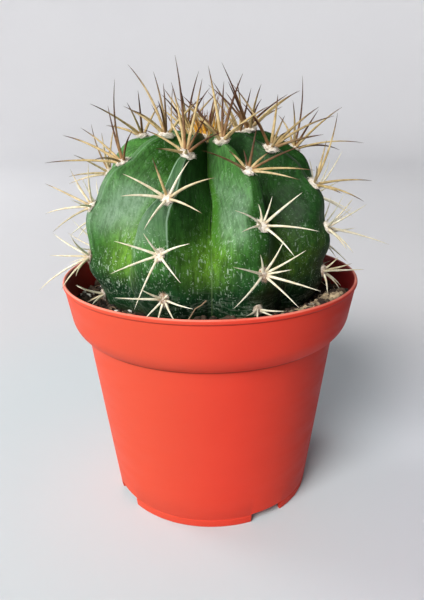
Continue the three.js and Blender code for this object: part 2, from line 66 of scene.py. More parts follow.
def settle(piece):  # its place goes into the mesh, the object back to the origin
    pick(piece)
    bpy.ops.object.transform_apply(location=True, rotation=True, scale=True)
    return piece


def joined(pieces, name):
    pick(*pieces)
    bpy.ops.object.join()
    return addedPiece(name)


def addedPiece(name):  # names what an operator has just made
    piece = bpy.context.active_object
    piece.name = name
    piece.data.name = name
    return piece


def editing(piece):  # opens a piece in edit mode, all of it selected, and returns its mesh
    pick(piece)
    bpy.ops.object.mode_set(mode="EDIT")
    bpy.ops.mesh.select_mode(type="VERT")
    bpy.ops.mesh.select_all(action="SELECT")
    return bmesh.from_edit_mesh(piece.data)


def applied(piece, kind, **settings):  # adds one modifier and applies it
    pick(piece)
    modifier = piece.modifiers.new(kind.lower(), kind)
    for key, value in settings.items():
        setattr(modifier, key, value)
    bpy.ops.object.modifier_apply(modifier=modifier.name)
    return piece


def smoothed(piece, degrees):
    pick(piece)
    bpy.ops.object.shade_smooth_by_angle(angle=math.radians(degrees))
    return piece


def newPiece(name, mesh):
    piece = bpy.data.objects.new(name, mesh)
    mesh.name = name
    bpy.context.scene.collection.objects.link(piece)
    return piece


def discard(pieces):
    for piece in pieces:
        bpy.data.objects.remove(piece, do_unlink=True)


def nodeCopy(nodeName, name):  # a merged copy of a solid, free of its frame tags
    copy = newPiece(name, nodes[nodeName].data.copy())
    copy.data.materials.clear()
    pick(copy)
    bpy.ops.mesh.customdata_custom_splitnormals_clear()
    editing(copy)
    bpy.ops.mesh.remove_doubles(threshold=0.002 * mm)
    objectMode()
    return copy


def turnedPiece(name, segments, points, fill="NGON"):  # a ring carried through these radii and heights
    radius, height = points[0]
    bpy.ops.mesh.primitive_circle_add(
        vertices=segments, radius=radius, fill_type=fill, location=(0, 0, height)
    )
    piece = settle(addedPiece(name))
    editing(piece)
    for newRadius, newHeight in points[1:]:
        growth = newRadius / radius
        bpy.ops.mesh.extrude_edges_move(TRANSFORM_OT_translate={"value": (0, 0, newHeight - height)})
        bpy.ops.transform.resize(value=(growth, growth, 1.0))
        radius, height = newRadius, newHeight
    return piece


def closeTop():  # a face over the picked ring, and all faces turned outwards
    bpy.ops.mesh.edge_face_add()
    bpy.ops.mesh.select_all(action="SELECT")
    bpy.ops.mesh.normals_make_consistent(inside=False)
    objectMode()


def surfaceTree(piece):  # for finding the nearest point of a piece
    mesh = piece.data
    return BVHTree.FromPolygons([v.co for v in mesh.vertices], [p.vertices[:] for p in mesh.polygons])


def setNumbers(mesh, name, values):  # one number for each vertex, or one for them all
    layer = mesh.attributes.get(name) or mesh.attributes.new(name, "FLOAT", "POINT")
    if isinstance(values, float):
        values = [values] * len(mesh.vertices)
    layer.data.foreach_set("value", values)


def setColumns(mesh, names, rows):  # several numbers for each vertex
    for name, values in zip(names, zip(*rows)):
        setNumbers(mesh, name, values)


def clad(piece, *materials):  # its faces take the last material
    piece.data.materials.clear()
    for material in materials:
        piece.data.materials.append(material)
    for face in piece.data.polygons:
        face.material_index = len(materials) - 1


def finishPiece(piece, angle, material, slot, *replaced):  # no material where it has its own already
    smoothed(piece, angle)
    if material:
        clad(piece, material)
    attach(piece, "root")
    if replaced:
        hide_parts(*replaced)


def around(radius, azimuth, height=0.0):  # azimuth from the front (-Y) towards +X
    angle = math.radians(azimuth)
    return Vector((radius * math.sin(angle), -radius * math.cos(angle), height))


def azimuthOf(x, y):
    return math.degrees(math.atan2(x, -y))


def azimuthGap(first, second):
    return abs((first - second + 540) % 360 - 180)


def sizing(x, y, z):  # a matrix that scales to these sizes
    return Matrix.Diagonal((x * mm, y * mm, z * mm, 1))


def stepUp(value, low, high):  # 0 below low, 1 above high, smooth between
    share = min(max((value - low) / (high - low), 0.0), 1.0)
    return share * share * (3 - 2 * share)


class Recipe:  # a material and the nodes that mix it
    def __init__(self, name):
        self.material = bpy.data.materials.new(name)
        self.material.use_nodes = True
        self.tree = self.material.node_tree
        self.shader = self.tree.nodes["Principled BSDF"]
        self.colour = None

    def fill(self, node, sockets):  # links a socket, or sets its value
        for name, value in sockets.items():
            if isinstance(value, bpy.types.NodeSocket):
                self.tree.links.new(value, node.inputs[name])
            else:
                node.inputs[name].default_value = value

    def add(self, kind, sockets=None, **settings):
        node = self.tree.nodes.new(kind)
        for key, value in settings.items():
            setattr(node, key, value)
        self.fill(node, sockets or {})
        return node

    def place(self):
        return self.add("ShaderNodeTexCoord").outputs["Object"]

    def attribute(self, name, output="Fac"):
        return self.add("ShaderNodeAttribute", attribute_name=name).outputs[output]

    def part(self, value, axis):  # one coordinate of a place
        return self.add("ShaderNodeSeparateXYZ", {"Vector": value}).outputs[axis]

    def channel(self, value, name):  # one channel of a colour
        return self.add("ShaderNodeSeparateColor", {"Color": value}).outputs[name]

    def noise(self, place, scale, detail=3.0, roughness=0.55):
        sockets = {"Vector": place, "Scale": scale, "Detail": detail, "Roughness": roughness}
        return self.add("ShaderNodeTexNoise", sockets).outputs["Fac"]

    def stretched(self, place, scale=(1, 1, 1), turn=(0, 0, 0), shift=(0, 0, 0)):
        turned = tuple(math.radians(angle) for angle in turn)
        sockets = {"Vector": place, "Scale": scale, "Rotation": turned, "Location": shift}
        return self.add("ShaderNodeMapping", sockets).outputs["Vector"]

    def inMm(self, value):
        return self.calc("DIVIDE", value, mm)

    def calc(self, operation, first, second=0.0):
        return self.add("ShaderNodeMath", {0: first, 1: second}, operation=operation).outputs[0]

    def combined(self, operation, first, *others):
        for other in others:
            first = self.calc(operation, first, other)
        return first

    def times(self, *values):
        return self.combined("MULTIPLY", *values)

    def plus(self, *values):
        return self.combined("ADD", *values)

    def minus(self, *values):
        return self.combined("SUBTRACT", *values)

    def highest(self, *values):
        return self.combined("MAXIMUM", *values)

    def away(self, value, level):  # how far a value is from a level, either way
        return self.calc("ABSOLUTE", self.minus(value, level))

    def span(self, value, low, high, start=0.0, end=1.0):  # smooth step between two levels
        sockets = {"Value": value, "From Min": low, "From Max": high, "To Min": start, "To Max": end}
        node = self.add("ShaderNodeMapRange", sockets, interpolation_type="SMOOTHSTEP")
        return node.outputs["Result"]

    def blend(self, factor, first, second, kind="MIX"):
        sockets = {0: factor}
        for number, colour in ((6, first), (7, second)):
            sockets[number] = (*colour, 1.0) if isinstance(colour, tuple) else colour
        return self.add("ShaderNodeMix", sockets, data_type="RGBA", blend_type=kind).outputs[2]

    def ramp(self, factor, *stops):  # each stop is a position and a colour
        node = self.add("ShaderNodeValToRGB", {"Fac": factor})
        elements = node.color_ramp.elements
        for element, (position, colour) in zip(elements, (stops[0], stops[-1])):
            element.position = position
            element.color = (*colour, 1.0)
        for position, colour in stops[1:-1]:
            elements.new(position).color = (*colour, 1.0)
        return node.outputs["Color"]

    def tones(self, factor, tones, low=0.3, high=0.7):  # from a dark tone to a light one
        return self.ramp(factor, (low, tones[0]), (high, tones[1]))

    def coat(self, strength, tone, kind="MIX"):  # lays a tone over the colour so far
        self.colour = self.blend(strength, self.colour, tone, kind)

    def bump(self, height, depth, strength=1.0, under=None):
        sockets = {"Height": height, "Distance": depth * mm, "Strength": strength}
        if under is not None:
            sockets["Normal"] = under
        return self.add("ShaderNodeBump", sockets).outputs["Normal"]

    def finish(self, roughness, normal, specular=0.5, flesh=None):
        sockets = {"Roughness": roughness, "Normal": normal, "Specular IOR Level": specular}
        if flesh:  # how much light enters, how far each colour goes, and how deep
            weight, radii, depth = flesh
            sockets["Subsurface Weight"] = weight
            sockets["Subsurface Radius"] = radii
            sockets["Subsurface Scale"] = depth * mm
        self.fill(self.shader, {"Base Color": self.colour, **sockets})
        return self.material


# Camera, lights and ground, with lengths in metres; the camera's angles are in radians
viewPoint = {
    "place": (0.0, -0.2000, 0.1379),
    "yaw": 0.003,
    "pitch": 0.32,
    "roll": -0.01,
    "lens": 33.94,
    "sensor": 36.0,
    "nearest": 0.005,
    "furthest": 20.0,
}


def makeCamera():
    s = viewPoint
    turned = Matrix.Rotation(-s["yaw"], 3, "Z") @ Matrix.Rotation(math.pi / 2 - s["pitch"], 3, "X")
    turned @= Matrix.Rotation(s["roll"], 3, "Z")
    bpy.ops.object.camera_add(location=s["place"])
    camera = addedPiece("photoCamera")
    camera.rotation_euler = turned.to_euler()
    camera.data.lens = s["lens"]
    camera.data.sensor_width = s["sensor"]
    camera.data.clip_start = s["nearest"]
    camera.data.clip_end = s["furthest"]
    bpy.context.scene.camera = camera


lightSetup = {
    "aimHeight": 0.09,
    "skyColour": (0.87, 0.91, 1.0, 1.0),
    "skyStrength": 0.06,
}
# name, azimuth, elevation, distance, size, power and colour of each window
windows = (
    ("windowLight", -31.0, 32.0, 2.30, 1.38, 98.0, (1.0, 0.985, 0.965)),
    ("sideLight", -116.0, 16.0, 1.90, 0.90, 15.0, (0.97, 0.985, 1.0)),
)


def makeLights():
    aim = Vector((0, 0, lightSetup["aimHeight"]))
    for name, azimuth, elevation, distance, size, power, colour in windows:
        rise = math.radians(elevation)
        place = aim + around(math.cos(rise) * distance, azimuth, math.sin(rise) * distance)
        bpy.ops.object.light_add(type="AREA", location=place)
        lamp = addedPiece(name)
        lamp.rotation_euler = (aim - place).to_track_quat("-Z", "Y").to_euler()
        lamp.data.shape = "DISK"
        lamp.data.size = size
        lamp.data.energy = power
        lamp.data.color = colour
        lamp.visible_camera = False
    world = bpy.data.worlds.new("paleRoom")
    world.use_nodes = True
    sky = world.node_tree.nodes["Background"]
    sky.inputs["Color"].default_value = lightSetup["skyColour"]
    sky.inputs["Strength"].default_value = lightSetup["skyStrength"]
    bpy.context.scene.world = world
    bpy.context.scene.view_settings.view_transform = "Standard"


groundStyle = {
    "floorRadius": 1.50,
    "curveRadius": 0.60,
    "wallHeight": 1.8,
    "segments": 96,
    "curveSteps": 10,
    "paper": ((0.66, 0.660, 0.68), (0.68, 0.680, 0.697)),
    "coolLit": (0.585, 0.674, 0.700),
    "coolShaded": (0.632, 0.660, 0.708),
    "front": (0.36, 0.36, 0.37),
    "right": (0.22, 0.22, 0.23),
    "glow": (0.97, 0.975, 1.0, 1.0),
    "slant": 0.4,  # how far the right border of the view runs out with depth
    "coolSpan": (0.24, 0.06),
    "litSpan": (0.10, 0.02),
    "frontSpan": (-0.55, -1.3, 0.0, 0.5),
    "rightSpan": (0.10, 0.34, 0.0, 0.85),
    "glowSpan": (-0.16, 0.95, 0.0, 0.13),
}


def paperMaterial():  # pale, darker outside the view, and lit from within behind the object
    s = groundStyle
    r = Recipe("pale paper")
    place = r.place()
    across, depth = r.part(place, "X"), r.part(place, "Y")
    r.colour = r.tones(r.noise(place, 3.0, 4.0), s["paper"])
    # cooler near the pot, where it throws its red on the paper
    reach = r.add("ShaderNodeVectorMath", {0: place}, operation="LENGTH").outputs["Value"]
    beside = r.minus(across, r.times(depth, s["slant"]))
    cool = r.blend(r.span(beside, *s["litSpan"]), s["coolShaded"], s["coolLit"])
    r.coat(r.span(reach, *s["coolSpan"]), cool)
    r.coat(r.span(depth, *s["frontSpan"]), s["front"])
    right = r.span(beside, *s["rightSpan"])
    r.coat(right, s["right"])
    lit = r.times(r.span(depth, *s["glowSpan"]), r.minus(1.0, right))
    r.fill(r.shader, {"Emission Strength": lit, "Emission Color": s["glow"]})
    return r.finish(0.9, r.bump(r.noise(place, 900.0, 2.0), 0.05, 0.3))


def makeGround():  # a floor that curves up into a wall all round
    s = groundStyle
    points = []
    for step in range(s["curveSteps"] + 1):
        angle = math.pi / 2 * step / s["curveSteps"]
        radius = s["floorRadius"] + s["curveRadius"] * math.sin(angle)
        points.append((radius, s["curveRadius"] * (1 - math.cos(angle))))
    points.append((radius, s["wallHeight"]))
    ground = turnedPiece("paperGround", s["segments"], points)
    objectMode()
    smoothed(ground, 60)
    clad(ground, paperMaterial())


# Pot
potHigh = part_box("pot")[1]
potStyle = {
    "segments": 176,
    "rimRadius": potHigh.x / mm,
    "height": potHigh.z / mm,
    "collarTop": (52.0, 81.3),  # radius and height
    "collarBottom": (50.1, 70.2),
    "crease": (45.0, 63.2),
    "footRadius": 37.0,
    "footLine": 3.1,
    "lineDepth": 0.14,
    "footRing": 1.4,
    "wall": 0.9,
    "plateUnderside": 3.8,
    "plateTop": 5.0,
    "bodyRings": (0.2, 0.4, 0.6, 0.8, 0.94),  # shares of the way up to the crease
    "wallRings": (0.75, 0.5, 0.25),
    "notchAzimuths": (31.5, 121.5, 211.5, 301.5),
    "notchSize": (13.0, 8.0, 7.2),
    "notchRounding": 0.35,
    "drainRadius": 3.5,
    "middleDrainRadius": 4.0,
    "drainCircle": 25.0,
    "pegHeight": 6.0,
    "pegSides": 40,
    "rimEdge": (0.9, 0.3),  # width and depth of the rim's top edge, where a highlight is painted
    "inwardFacing": -0.2,
    "smoothAngle": 32,
}


def curveBetween(start, control, end, steps):  # points after the start, up to the end
    start, control, end = Vector(start), Vector(control), Vector(end)
    shares = (step / steps for step in range(1, steps + 1))
    return [tuple(start * (1 - t) ** 2 + control * 2 * t * (1 - t) + end * t * t) for t in shares]


def potProfile():  # radius and height, from under the base round the rim to the base's top
    s = potStyle
    foot, line, base, wall = s["footRadius"], s["footLine"], s["plateTop"], s["wall"]
    (crease, creaseZ), (collar, collarZ), (top, topZ) = s["crease"], s["collarBottom"], s["collarTop"]
    rim, height, insideFoot = s["rimRadius"], s["height"], foot - s["footRing"]

    def cone(level):  # radius of the tapered body
        return foot + (crease - foot) * level / creaseZ

    def curve(control, end, steps):
        points.extend(curveBetween(points[-1], control, end, steps))

    # foot ring and the thin line above it; the small numbers, in millimetres, round the corners
    points = [(cone(s["plateUnderside"]) - s["footRing"], s["plateUnderside"]), (insideFoot + 0.05, 0.35)]
    curve((insideFoot, 0), (foot - 1.0, 0), 3)
    points += [(foot - 0.45, 0.0)]
    curve((foot, 0), (cone(0.5), 0.5), 4)
    lineFloor = cone(line) - s["lineDepth"]
    points += [(cone(line - 0.3), line - 0.3), (lineFloor, line - 0.08)]
    points += [(lineFloor, line + 0.08), (cone(line + 0.3), line + 0.3)]
    # body, crease and the underside of the collar
    points += [(cone(creaseZ * share), creaseZ * share) for share in s["bodyRings"]]
    points += [(crease - 0.05, creaseZ - 0.5)]
    curve((crease, creaseZ), (crease + 0.55, creaseZ + 0.35), 3)
    curve((crease + 2.2, creaseZ + 1.25), (crease + 3.4, creaseZ + 2.9), 4)
    curve((crease + 4.75, creaseZ + 4.9), (collar, collarZ), 5)
    # collar and rolled rim
    points += [((collar + top) / 2, (collarZ + topZ) / 2)]
    points += [(top - 0.04, topZ - 0.35), (top - 0.03, topZ - 0.1)]
    curve((rim - 0.02, topZ + 0.05), (rim, height - 0.95), 4)
    curve((rim, height - 0.05), (rim - 0.55, height), 4)
    curve((rim - 1.2, height), (top - wall, topZ + 0.4), 4)
    # back down the inside
    points += [(collar - wall + 0.9, collarZ + 5.0), (collar - wall, collarZ)]
    curve((crease + 3.9, creaseZ + 5.1), (crease + 2.5, creaseZ + 3.4), 4)
    curve((crease + 1.2, creaseZ + 1.9), (crease - wall, creaseZ + 0.2), 4)
    points += [(cone(creaseZ * share) - wall, creaseZ * share) for share in s["wallRings"]]
    points += [(cone(base + 1.0) - wall - 0.05, base + 1.0)]
    curve((cone(base) - wall, base), (cone(base) - wall - 1.2, base), 3)
    return points


def turnedShell():  # the pot's outline turned, closed under the base and above it
    segments = potStyle["segments"]
    points = [(radius * mm, height * mm) for radius, height in potProfile()]
    shell = turnedPiece("potShell", segments, points, "NOTHING")
    bpy.ops.mesh.edge_face_add()
    bpy.ops.mesh.select_all(action="DESELECT")
    mesh = bmesh.from_edit_mesh(shell.data)
    for vertex in mesh.verts:
        vertex.select = vertex.index < segments
    mesh.select_flush(True)
    bmesh.update_edit_mesh(shell.data)
    closeTop()
    return shell


def cutAway(piece, cutter):
    applied(piece, "BOOLEAN", operation="DIFFERENCE", object=cutter, solver="EXACT")
    discard([cutter])


def drainPeg(radius, circle, azimuth):  # an upright peg that cuts a hole through the base
    s = potStyle
    place = around(circle, azimuth, s["plateTop"] - 1) * mm
    bpy.ops.mesh.primitive_cylinder_add(
        vertices=s["pegSides"], radius=radius * mm, depth=s["pegHeight"] * mm, location=place
    )
    return settle(addedPiece("drainPeg"))


def notchBlock(azimuth):  # a round-cornered block that opens the foot ring
    s = potStyle
    bpy.ops.mesh.primitive_cube_add(size=1.0, location=around(s["footRadius"], azimuth) * mm)
    block = addedPiece("notchBlock")
    block.scale = Vector(s["notchSize"]) * mm
    block.rotation_euler.z = math.radians(azimuth)
    settle(block)
    return applied(block, "BEVEL", width=s["notchRounding"] * mm, segments=3)


plasticStyle = {
    "windowAzimuth": -68.0,
    "orange": ((0.640, 0.045, 0.025), (0.690, 0.051, 0.028)),
    # painted light and painted shade for the two sides, with the spans they follow
    "paintedLight": (0.610, 0.076, 0.037),
    "paintedLightSpan": (4, 42, 0.0, 0.9),
    "shaded": (0.440, 0.013, 0.008),
    "shadeSpan": (-4, -40, 0.0, 0.9),
    "speck": (0.25, 0.03, 0.02),
    "speckSize": 0.09,
    "speckChance": (4, 22, 0.075, 0.004),  # more of them near the foot
    # painted shade on the inside of the pot
    "insideShade": (0.200, 0.007, 0.007),
    # a painted highlight along the rim's top edge
    "rimHighlight": (0.90, 0.34, 0.25),
    "creaseShade": (0.180, 0.012, 0.008),
    # height, half width and strength of the painted shade under the collar and under the rim
    "creaseShadeLines": (
        (potStyle["crease"][1] + 0.15, 0.55, 0.62),
        (potStyle["collarTop"][1], 0.40, 0.45),
    ),
    "gloss": (0.50, 0.62),
}


def plasticMaterial():
    s = plasticStyle
    r = Recipe("moulded plastic")
    place = r.place()
    height = r.inMm(r.part(place, "Z"))
    cloud = r.noise(place, 26.0)
    r.colour = r.tones(cloud, s["orange"], 0.32)
    # painted light on the side that faces the window, painted shade on the other
    window = tuple(around(1.0, s["windowAzimuth"]))
    toWindow = r.add("ShaderNodeVectorMath", {0: place, 1: window}, operation="DOT_PRODUCT")
    toWindow = r.inMm(toWindow.outputs["Value"])
    r.coat(r.span(toWindow, *s["paintedLightSpan"]), s["paintedLight"])
    r.coat(r.span(toWindow, *s["shadeSpan"]), s["shaded"])
    # dark specks in the plastic
    cells = r.add("ShaderNodeTexVoronoi", {"Vector": place, "Scale": 260.0})
    speck = r.calc("LESS_THAN", cells.outputs["Distance"], s["speckSize"])
    chance = r.span(height, *s["speckChance"])
    chosen = r.calc("LESS_THAN", r.channel(cells.outputs["Color"], "Red"), chance)
    r.coat(r.times(speck, chosen, 0.6), s["speck"])
    # painted shade inside the pot, and a painted highlight along the top edge of the rim
    shadedInside = r.span(r.plus(r.attribute("inside"), r.times(cloud, 0.3)), 0.5, 0.9, 0.0, 0.85)
    r.coat(shadedInside, s["insideShade"])
    rubAndGlint = r.noise(r.stretched(place, (1, 1, 4)), 60.0, 5.0)
    r.coat(r.times(r.attribute("edge"), r.span(rubAndGlint, 0.25, 0.6, 0.25, 0.6)), s["rimHighlight"])
    # painted shade in the crease under the collar and under the rim
    for level, width, strength in s["creaseShadeLines"]:
        r.coat(r.span(r.away(height, level), width, width * 0.3, 0.0, strength), s["creaseShade"])
    waves = r.bump(r.noise(r.stretched(place, (1, 1, 0.25)), 45.0, 2.0), 0.25, 0.35)
    relief = r.bump(r.noise(place, 2600.0, 2.0), 0.012, 0.5, waves)
    return r.finish(r.span(rubAndGlint, 0.3, 0.75, *s["gloss"]), relief, 0.12, (0.12, (1.0, 0.25, 0.1), 1.2))


def markPot(shell):  # which points lie on the inside, and which on the rim's top edge
    s = potStyle
    width, depth = s["rimEdge"]
    rows = []
    for vertex in shell.data.vertices:
        x, y, z = vertex.co / mm
        reach = math.hypot(x, y)
        facing = vertex.normal.dot(Vector((x, y, 0)).normalized())
        inward = facing < s["inwardFacing"] or reach < s["footRadius"] - 3
        onEdge = z > s["height"] - depth and reach > s["rimRadius"] - width
        rows.append((float(inward and z > s["plateTop"] - 0.5), float(onEdge)))
    setColumns(shell.data, ("inside", "edge"), rows)


def makePot():
    s = potStyle
    shell = turnedShell()
    for azimuth in s["notchAzimuths"]:
        cutAway(shell, notchBlock(azimuth))
        cutAway(shell, drainPeg(s["drainRadius"], s["drainCircle"], azimuth))
    cutAway(shell, drainPeg(s["middleDrainRadius"], 0, 0))
    markPot(shell)
    finishPiece(shell, s["smoothAngle"], plasticMaterial(), "pot_plastic", "pot")


# Cactus skin
bodyStyle = {
    "centre": (-0.5, -1.0),
    "radius": 43.3,
    "widestHeight": 95.9,
    "crownRise": 37.2,
    "crownPower": 2.2,
    "baseDrop": 38.3,
    "bottom": 64.0,
    "apexDip": 5.0,
    "apexDipRadius": 15.0,
    "crestSteps": 240,
    "quadAngles": (60, 120),
    # where the sharper edges lie between crest (0) and groove (1), the share of the way up from which
    # they start, how much they climb at least, and their crease: the grooves, then the crests' edges
    "creases": ((0.97, 2.0, 0.0, -1, 0.80), (0.09, 0.17, 0.42, 0.01, 0.62)),
    "foldWidth": 0.05,
    "foldDepth": 0.5,
    "foldRise": (84, 104),
    "lumps": ((9.0, 0.22), (2.6, 0.05)),  # size and depth
    "smoothCrown": 8.0,
    # the light's direction and the side that faces it, for the skin's painted light and shade
    "windowAzimuth": -42.0,
    "windowRise": 0.35,
    "lightSideSpan": (0.05, 0.62),
    "wrapSqueeze": 0.16,
    "bandShown": (0.35, 1.0, 0.06, 0.12, 0.3, 0.45, 0.3, 0.4),  # strength on each rib
    "smoothAngle": 75,
}
# azimuth of each rib, its turn near the crown, and the shares of the way up between which it turns
ribTurns = (
    (-66, 7, 0.5, 0.7),
    (-19, 5.5, 0.5, 0.74),
    (22, -10, 0.64, 0.8),
    (64, -13, 0.64, 0.76),
    (108, 4, 0.6, 0.8),
    (155, -5, 0.6, 0.8),
    (202, 5, 0.6, 0.8),
    (249, -4, 0.6, 0.8),
)


def crestFinder():  # finds how far up a rib's crest a place lies, from the bottom (0) to the apex (1)
    s = bodyStyle
    lowest = -math.asin((s["widestHeight"] - s["bottom"]) / s["baseDrop"])
    line = []
    arc = 0.0
    for step in range(s["crestSteps"] + 1):
        angle = lowest + (math.pi / 2 - lowest) * step / s["crestSteps"]
        power = s["crownPower"] if angle > 0 else 2.0
        rise = s["crownRise"] if angle > 0 else -s["baseDrop"]
        radius = s["radius"] * abs(math.cos(angle)) ** (2 / power)
        dip = s["apexDip"] * (1 - min(radius / s["apexDipRadius"], 1)) ** 2
        height = s["widestHeight"] + rise * abs(math.sin(angle)) ** (2 / power) - dip
        if line:
            arc += math.hypot(radius - line[-1][1], height - line[-1][2])
        line.append((arc, radius, height))
    finder = KDTree(len(line))
    for number, (_, radius, height) in enumerate(line):
        finder.insert((radius, height, 0.0), number)
    finder.balance()
    return finder, [along / arc for along, _, _ in line]


def ribPlace(point, crest):  # share of the way up, place from crest (0) to groove (-1, 1), and rib
    finder, shares = crest
    cx, cy = bodyStyle["centre"]
    x, y = point.x / mm - cx, point.y / mm - cy
    climb = shares[finder.find((math.hypot(x, y), point.z / mm, 0.0))[1]]
    azimuth = azimuthOf(x, y)
    crests = [at + turn * min(max((climb - low) / (high - low), 0), 1) for at, turn, low, high in ribTurns]
    nearest = (2.0, 0.0, 0)
    for rib, middle in enumerate(crests):
        away = (azimuth - middle + 540) % 360 - 180
        neighbour = crests[(rib + 1) % len(crests)] if away > 0 else crests[rib - 1]
        share = abs(away) / (azimuthGap(middle, neighbour) / 2)
        if share < nearest[0]:
            nearest = (share, math.copysign(min(share, 1.0), away), rib)
    return climb, nearest[1], nearest[2]


def creaseRibs(skin, crest):  # sharper grooves and crest edges for the subdivision
    s = bodyStyle
    mesh = editing(skin)
    places = [ribPlace(vertex.co, crest) for vertex in mesh.verts]
    for low, high, start, least, crease in s["creases"]:
        bpy.ops.mesh.select_all(action="DESELECT")
        for edge in mesh.edges:
            first, second = (places[vertex.index] for vertex in edge.verts)
            upright = abs(first[0] - second[0]) > least and first[1] * second[1] > 0 or least < 0
            inside = all(low < abs(place[1]) < high and place[0] >= start for place in (first, second))
            edge.select = upright and inside
        bmesh.update_edit_mesh(skin.data)
        bpy.ops.transform.edge_crease(value=crease)
    objectMode()


def shapeSkin(skin, crest):  # folds, lumps, and the numbers that the skin's colours follow
    s = bodyStyle
    rows, wraps = [], []
    window = around(1.0, s["windowAzimuth"], s["windowRise"]).normalized()
    normals = [vertex.normal.copy() for vertex in skin.data.vertices]
    cx, cy = s["centre"]
    for vertex, normal in zip(skin.data.vertices, normals):
        _, across, rib = ribPlace(vertex.co, crest)
        x, y, z = vertex.co
        out = Vector((x - cx * mm, y - cy * mm, 0))
        reach = out.length
        out.normalize()
        height = z / mm
        if height > s["bottom"] + 1 and reach > s["smoothCrown"] * mm:
            fold = math.exp(-((1 - abs(across)) / s["foldWidth"]) ** 2) * stepUp(height, *s["foldRise"])
            lump = sum(noise.noise(vertex.co / (size * mm)) * depth for size, depth in s["lumps"])
            vertex.co += out * (lump - fold * s["foldDepth"]) * mm
        # how far each point faces the light, for the painted light and shade of the skin
        facing = stepUp(out.dot(window), *s["lightSideSpan"]) if reach > 1e-6 else 1.0
        rows.append((abs(across), across, normal.dot(window) * facing, s["bandShown"][rib]))
        ring = out * s["radius"] * mm if reach > 1e-6 else Vector((0, 0, 0))
        wraps += [ring.x, ring.y, z * s["wrapSqueeze"]]
    setColumns(skin.data, ("furrow", "across", "sun", "band"), rows)
    skin.data.attributes.new("wrap", "FLOAT_VECTOR", "POINT").data.foreach_set("vector", wraps)


skinGreens = {
    "low": ((0.002, 0.014, 0.005), (0.010, 0.056, 0.016)),
    # the shaded and lit greens, and the shaded low one, are painted shade and painted light
    "shade": ((0.007, 0.030, 0.006), (0.018, 0.078, 0.012)),
    "litGreen": ((0.026, 0.105, 0.014), (0.066, 0.215, 0.034)),
    "lowShade": (0.001, 0.005, 0.002),
    "brightHeights": (84, 104),
    "sun": (0.05, 0.90),
    "lowLitSpan": (0.0, 0.6, 0.45, 1.0),
}
# each layer over them: its tone, the heights and the light between which it sets in, and its
# strengths at the two where they aren't 0 and 1
skinLayers = {
    "aged": ((0.040, 0.070, 0.005), ((80, 91), (106, 96)), (0.35, 0.0, 0.0, 0.7)),
    "lime": ((0.125, 0.275, 0.020), ((84, 95), (113, 97, 0.12, 1.0)), (0.0, 0.7, 0.30, 1.0)),
    # a pale wax film with a painted sheen, on the lit faces
    "waxAndSheen": ((0.250, 0.370, 0.265), ((98, 107), (122, 113, 0.22, 1.0)), (0.45, 1.0, 0.0, 0.80)),
    "band": (((0.014, 0.054, 0.020), (0.082, 0.170, 0.075)), ((98, 112, 0.0, 0.85),), None),
    "bandShadow": ((0.012, 0.050, 0.008), ((98, 112, 0.0, 0.68),), None),
    "bandLine": ((0.260, 0.400, 0.270), ((94, 106, 0.0, 0.85),), (0.0, 0.4, 0.3, 1.0)),
    "fresh": ((0.060, 0.200, 0.018), ((96, 104, 0.0, 0.75),), (0.1, 0.6)),
    "lowStreaks": ((0.055, 0.150, 0.055), ((97, 86, 0.0, 0.55),), None),
    "wrinkles": ((0.210, 0.250, 0.190), ((90, 80, 0.0, 0.36),), None),
    "furrowShade": ((0.006, 0.020, 0.005), ((98, 106, 0.0, 0.85),), None),
    "lowSeam": ((0.120, 0.200, 0.075), ((101, 96, 0.0, 0.55),), None),
    "marks": ((0.480, 0.620, 0.470), (), None),
    "earth": ((0.085, 0.060, 0.040), ((79, 73, 0.0, 0.7),), None),
}
bandEdges = {
    "right": 0.13,  # places between the crest (0) and the groove (1)
    "left": ((0.0, 0.58), (0.24, 0.44), (0.5, 0.24), (0.72, 0.12), (1.0, 0.08)),
    "leftFoot": 105,
    "leftRise": 21,
}
markStyle = {
    "heights": (116, 90, 0.36, 1.0),
    "sun": (0.0, 0.6, 0.45, 1.0),
    "strength": 0.80,
    # stretch and turn of each kind, how many to the metre, their size and chance, and a shift
    "kinds": (
        ((1, 1, 1), (0, 0, 0), 1900.0, 0.34, 0.28, 0.13),
        ((1, 1, 1), (0, 0, 0), 760.0, 0.22, 0.30, 0.41),
        ((1, 1, 0.22), (14, 34, 20), 1050.0, 0.30, 0.34, 0.77),
        ((1, 1, 0.22), (-12, -38, -15), 1050.0, 0.30, 0.34, 1.31),
        ((0.3, 0.5, 1), (0, 28, 10), 1150.0, 0.25, 0.16, 2.3),
    ),
}


def layer(r, name, *shares, tone=None):  # lays one layer of the skin's colouring
    ownTone, heights, sun = skinLayers[name]
    shares += tuple(r.span(r.height, *levels) for levels in heights)
    if sun:
        shares += (r.span(r.sunny, *sun),)
    r.coat(r.times(*shares), tone or ownTone)


def greens(r):  # painted light and shade: paler greens on the side facing the light, darker on the other; olive where the belly has aged
    s = skinGreens
    low, shade, litGreen = (r.tones(r.cloud, s[name], 0.3, 0.75) for name in ("low", "shade", "litGreen"))
    low = r.blend(r.span(r.sunny, *s["lowLitSpan"]), s["lowShade"], low)
    high = r.blend(r.sunny, shade, litGreen)
    r.colour = r.blend(r.span(r.height, *s["brightHeights"]), low, high)
    layer(r, "aged", r.span(r.cloud, 0.40, 0.60))


def openFurrows(r):  # bright yellow-green where the furrows open at the waist, streaked lengthwise
    rightHand = r.span(r.across, -0.3, 0.3, -0.06, 0.22)
    opened = r.span(r.plus(r.furrow, rightHand, r.times(r.cloud, 0.6)), 0.62, 1.34, 0.0, 0.9)
    # stronger on the lit side, painted light
    layer(r, "lime", opened, r.span(r.streaks, 0.25, 0.7, 0.55, 1.0))


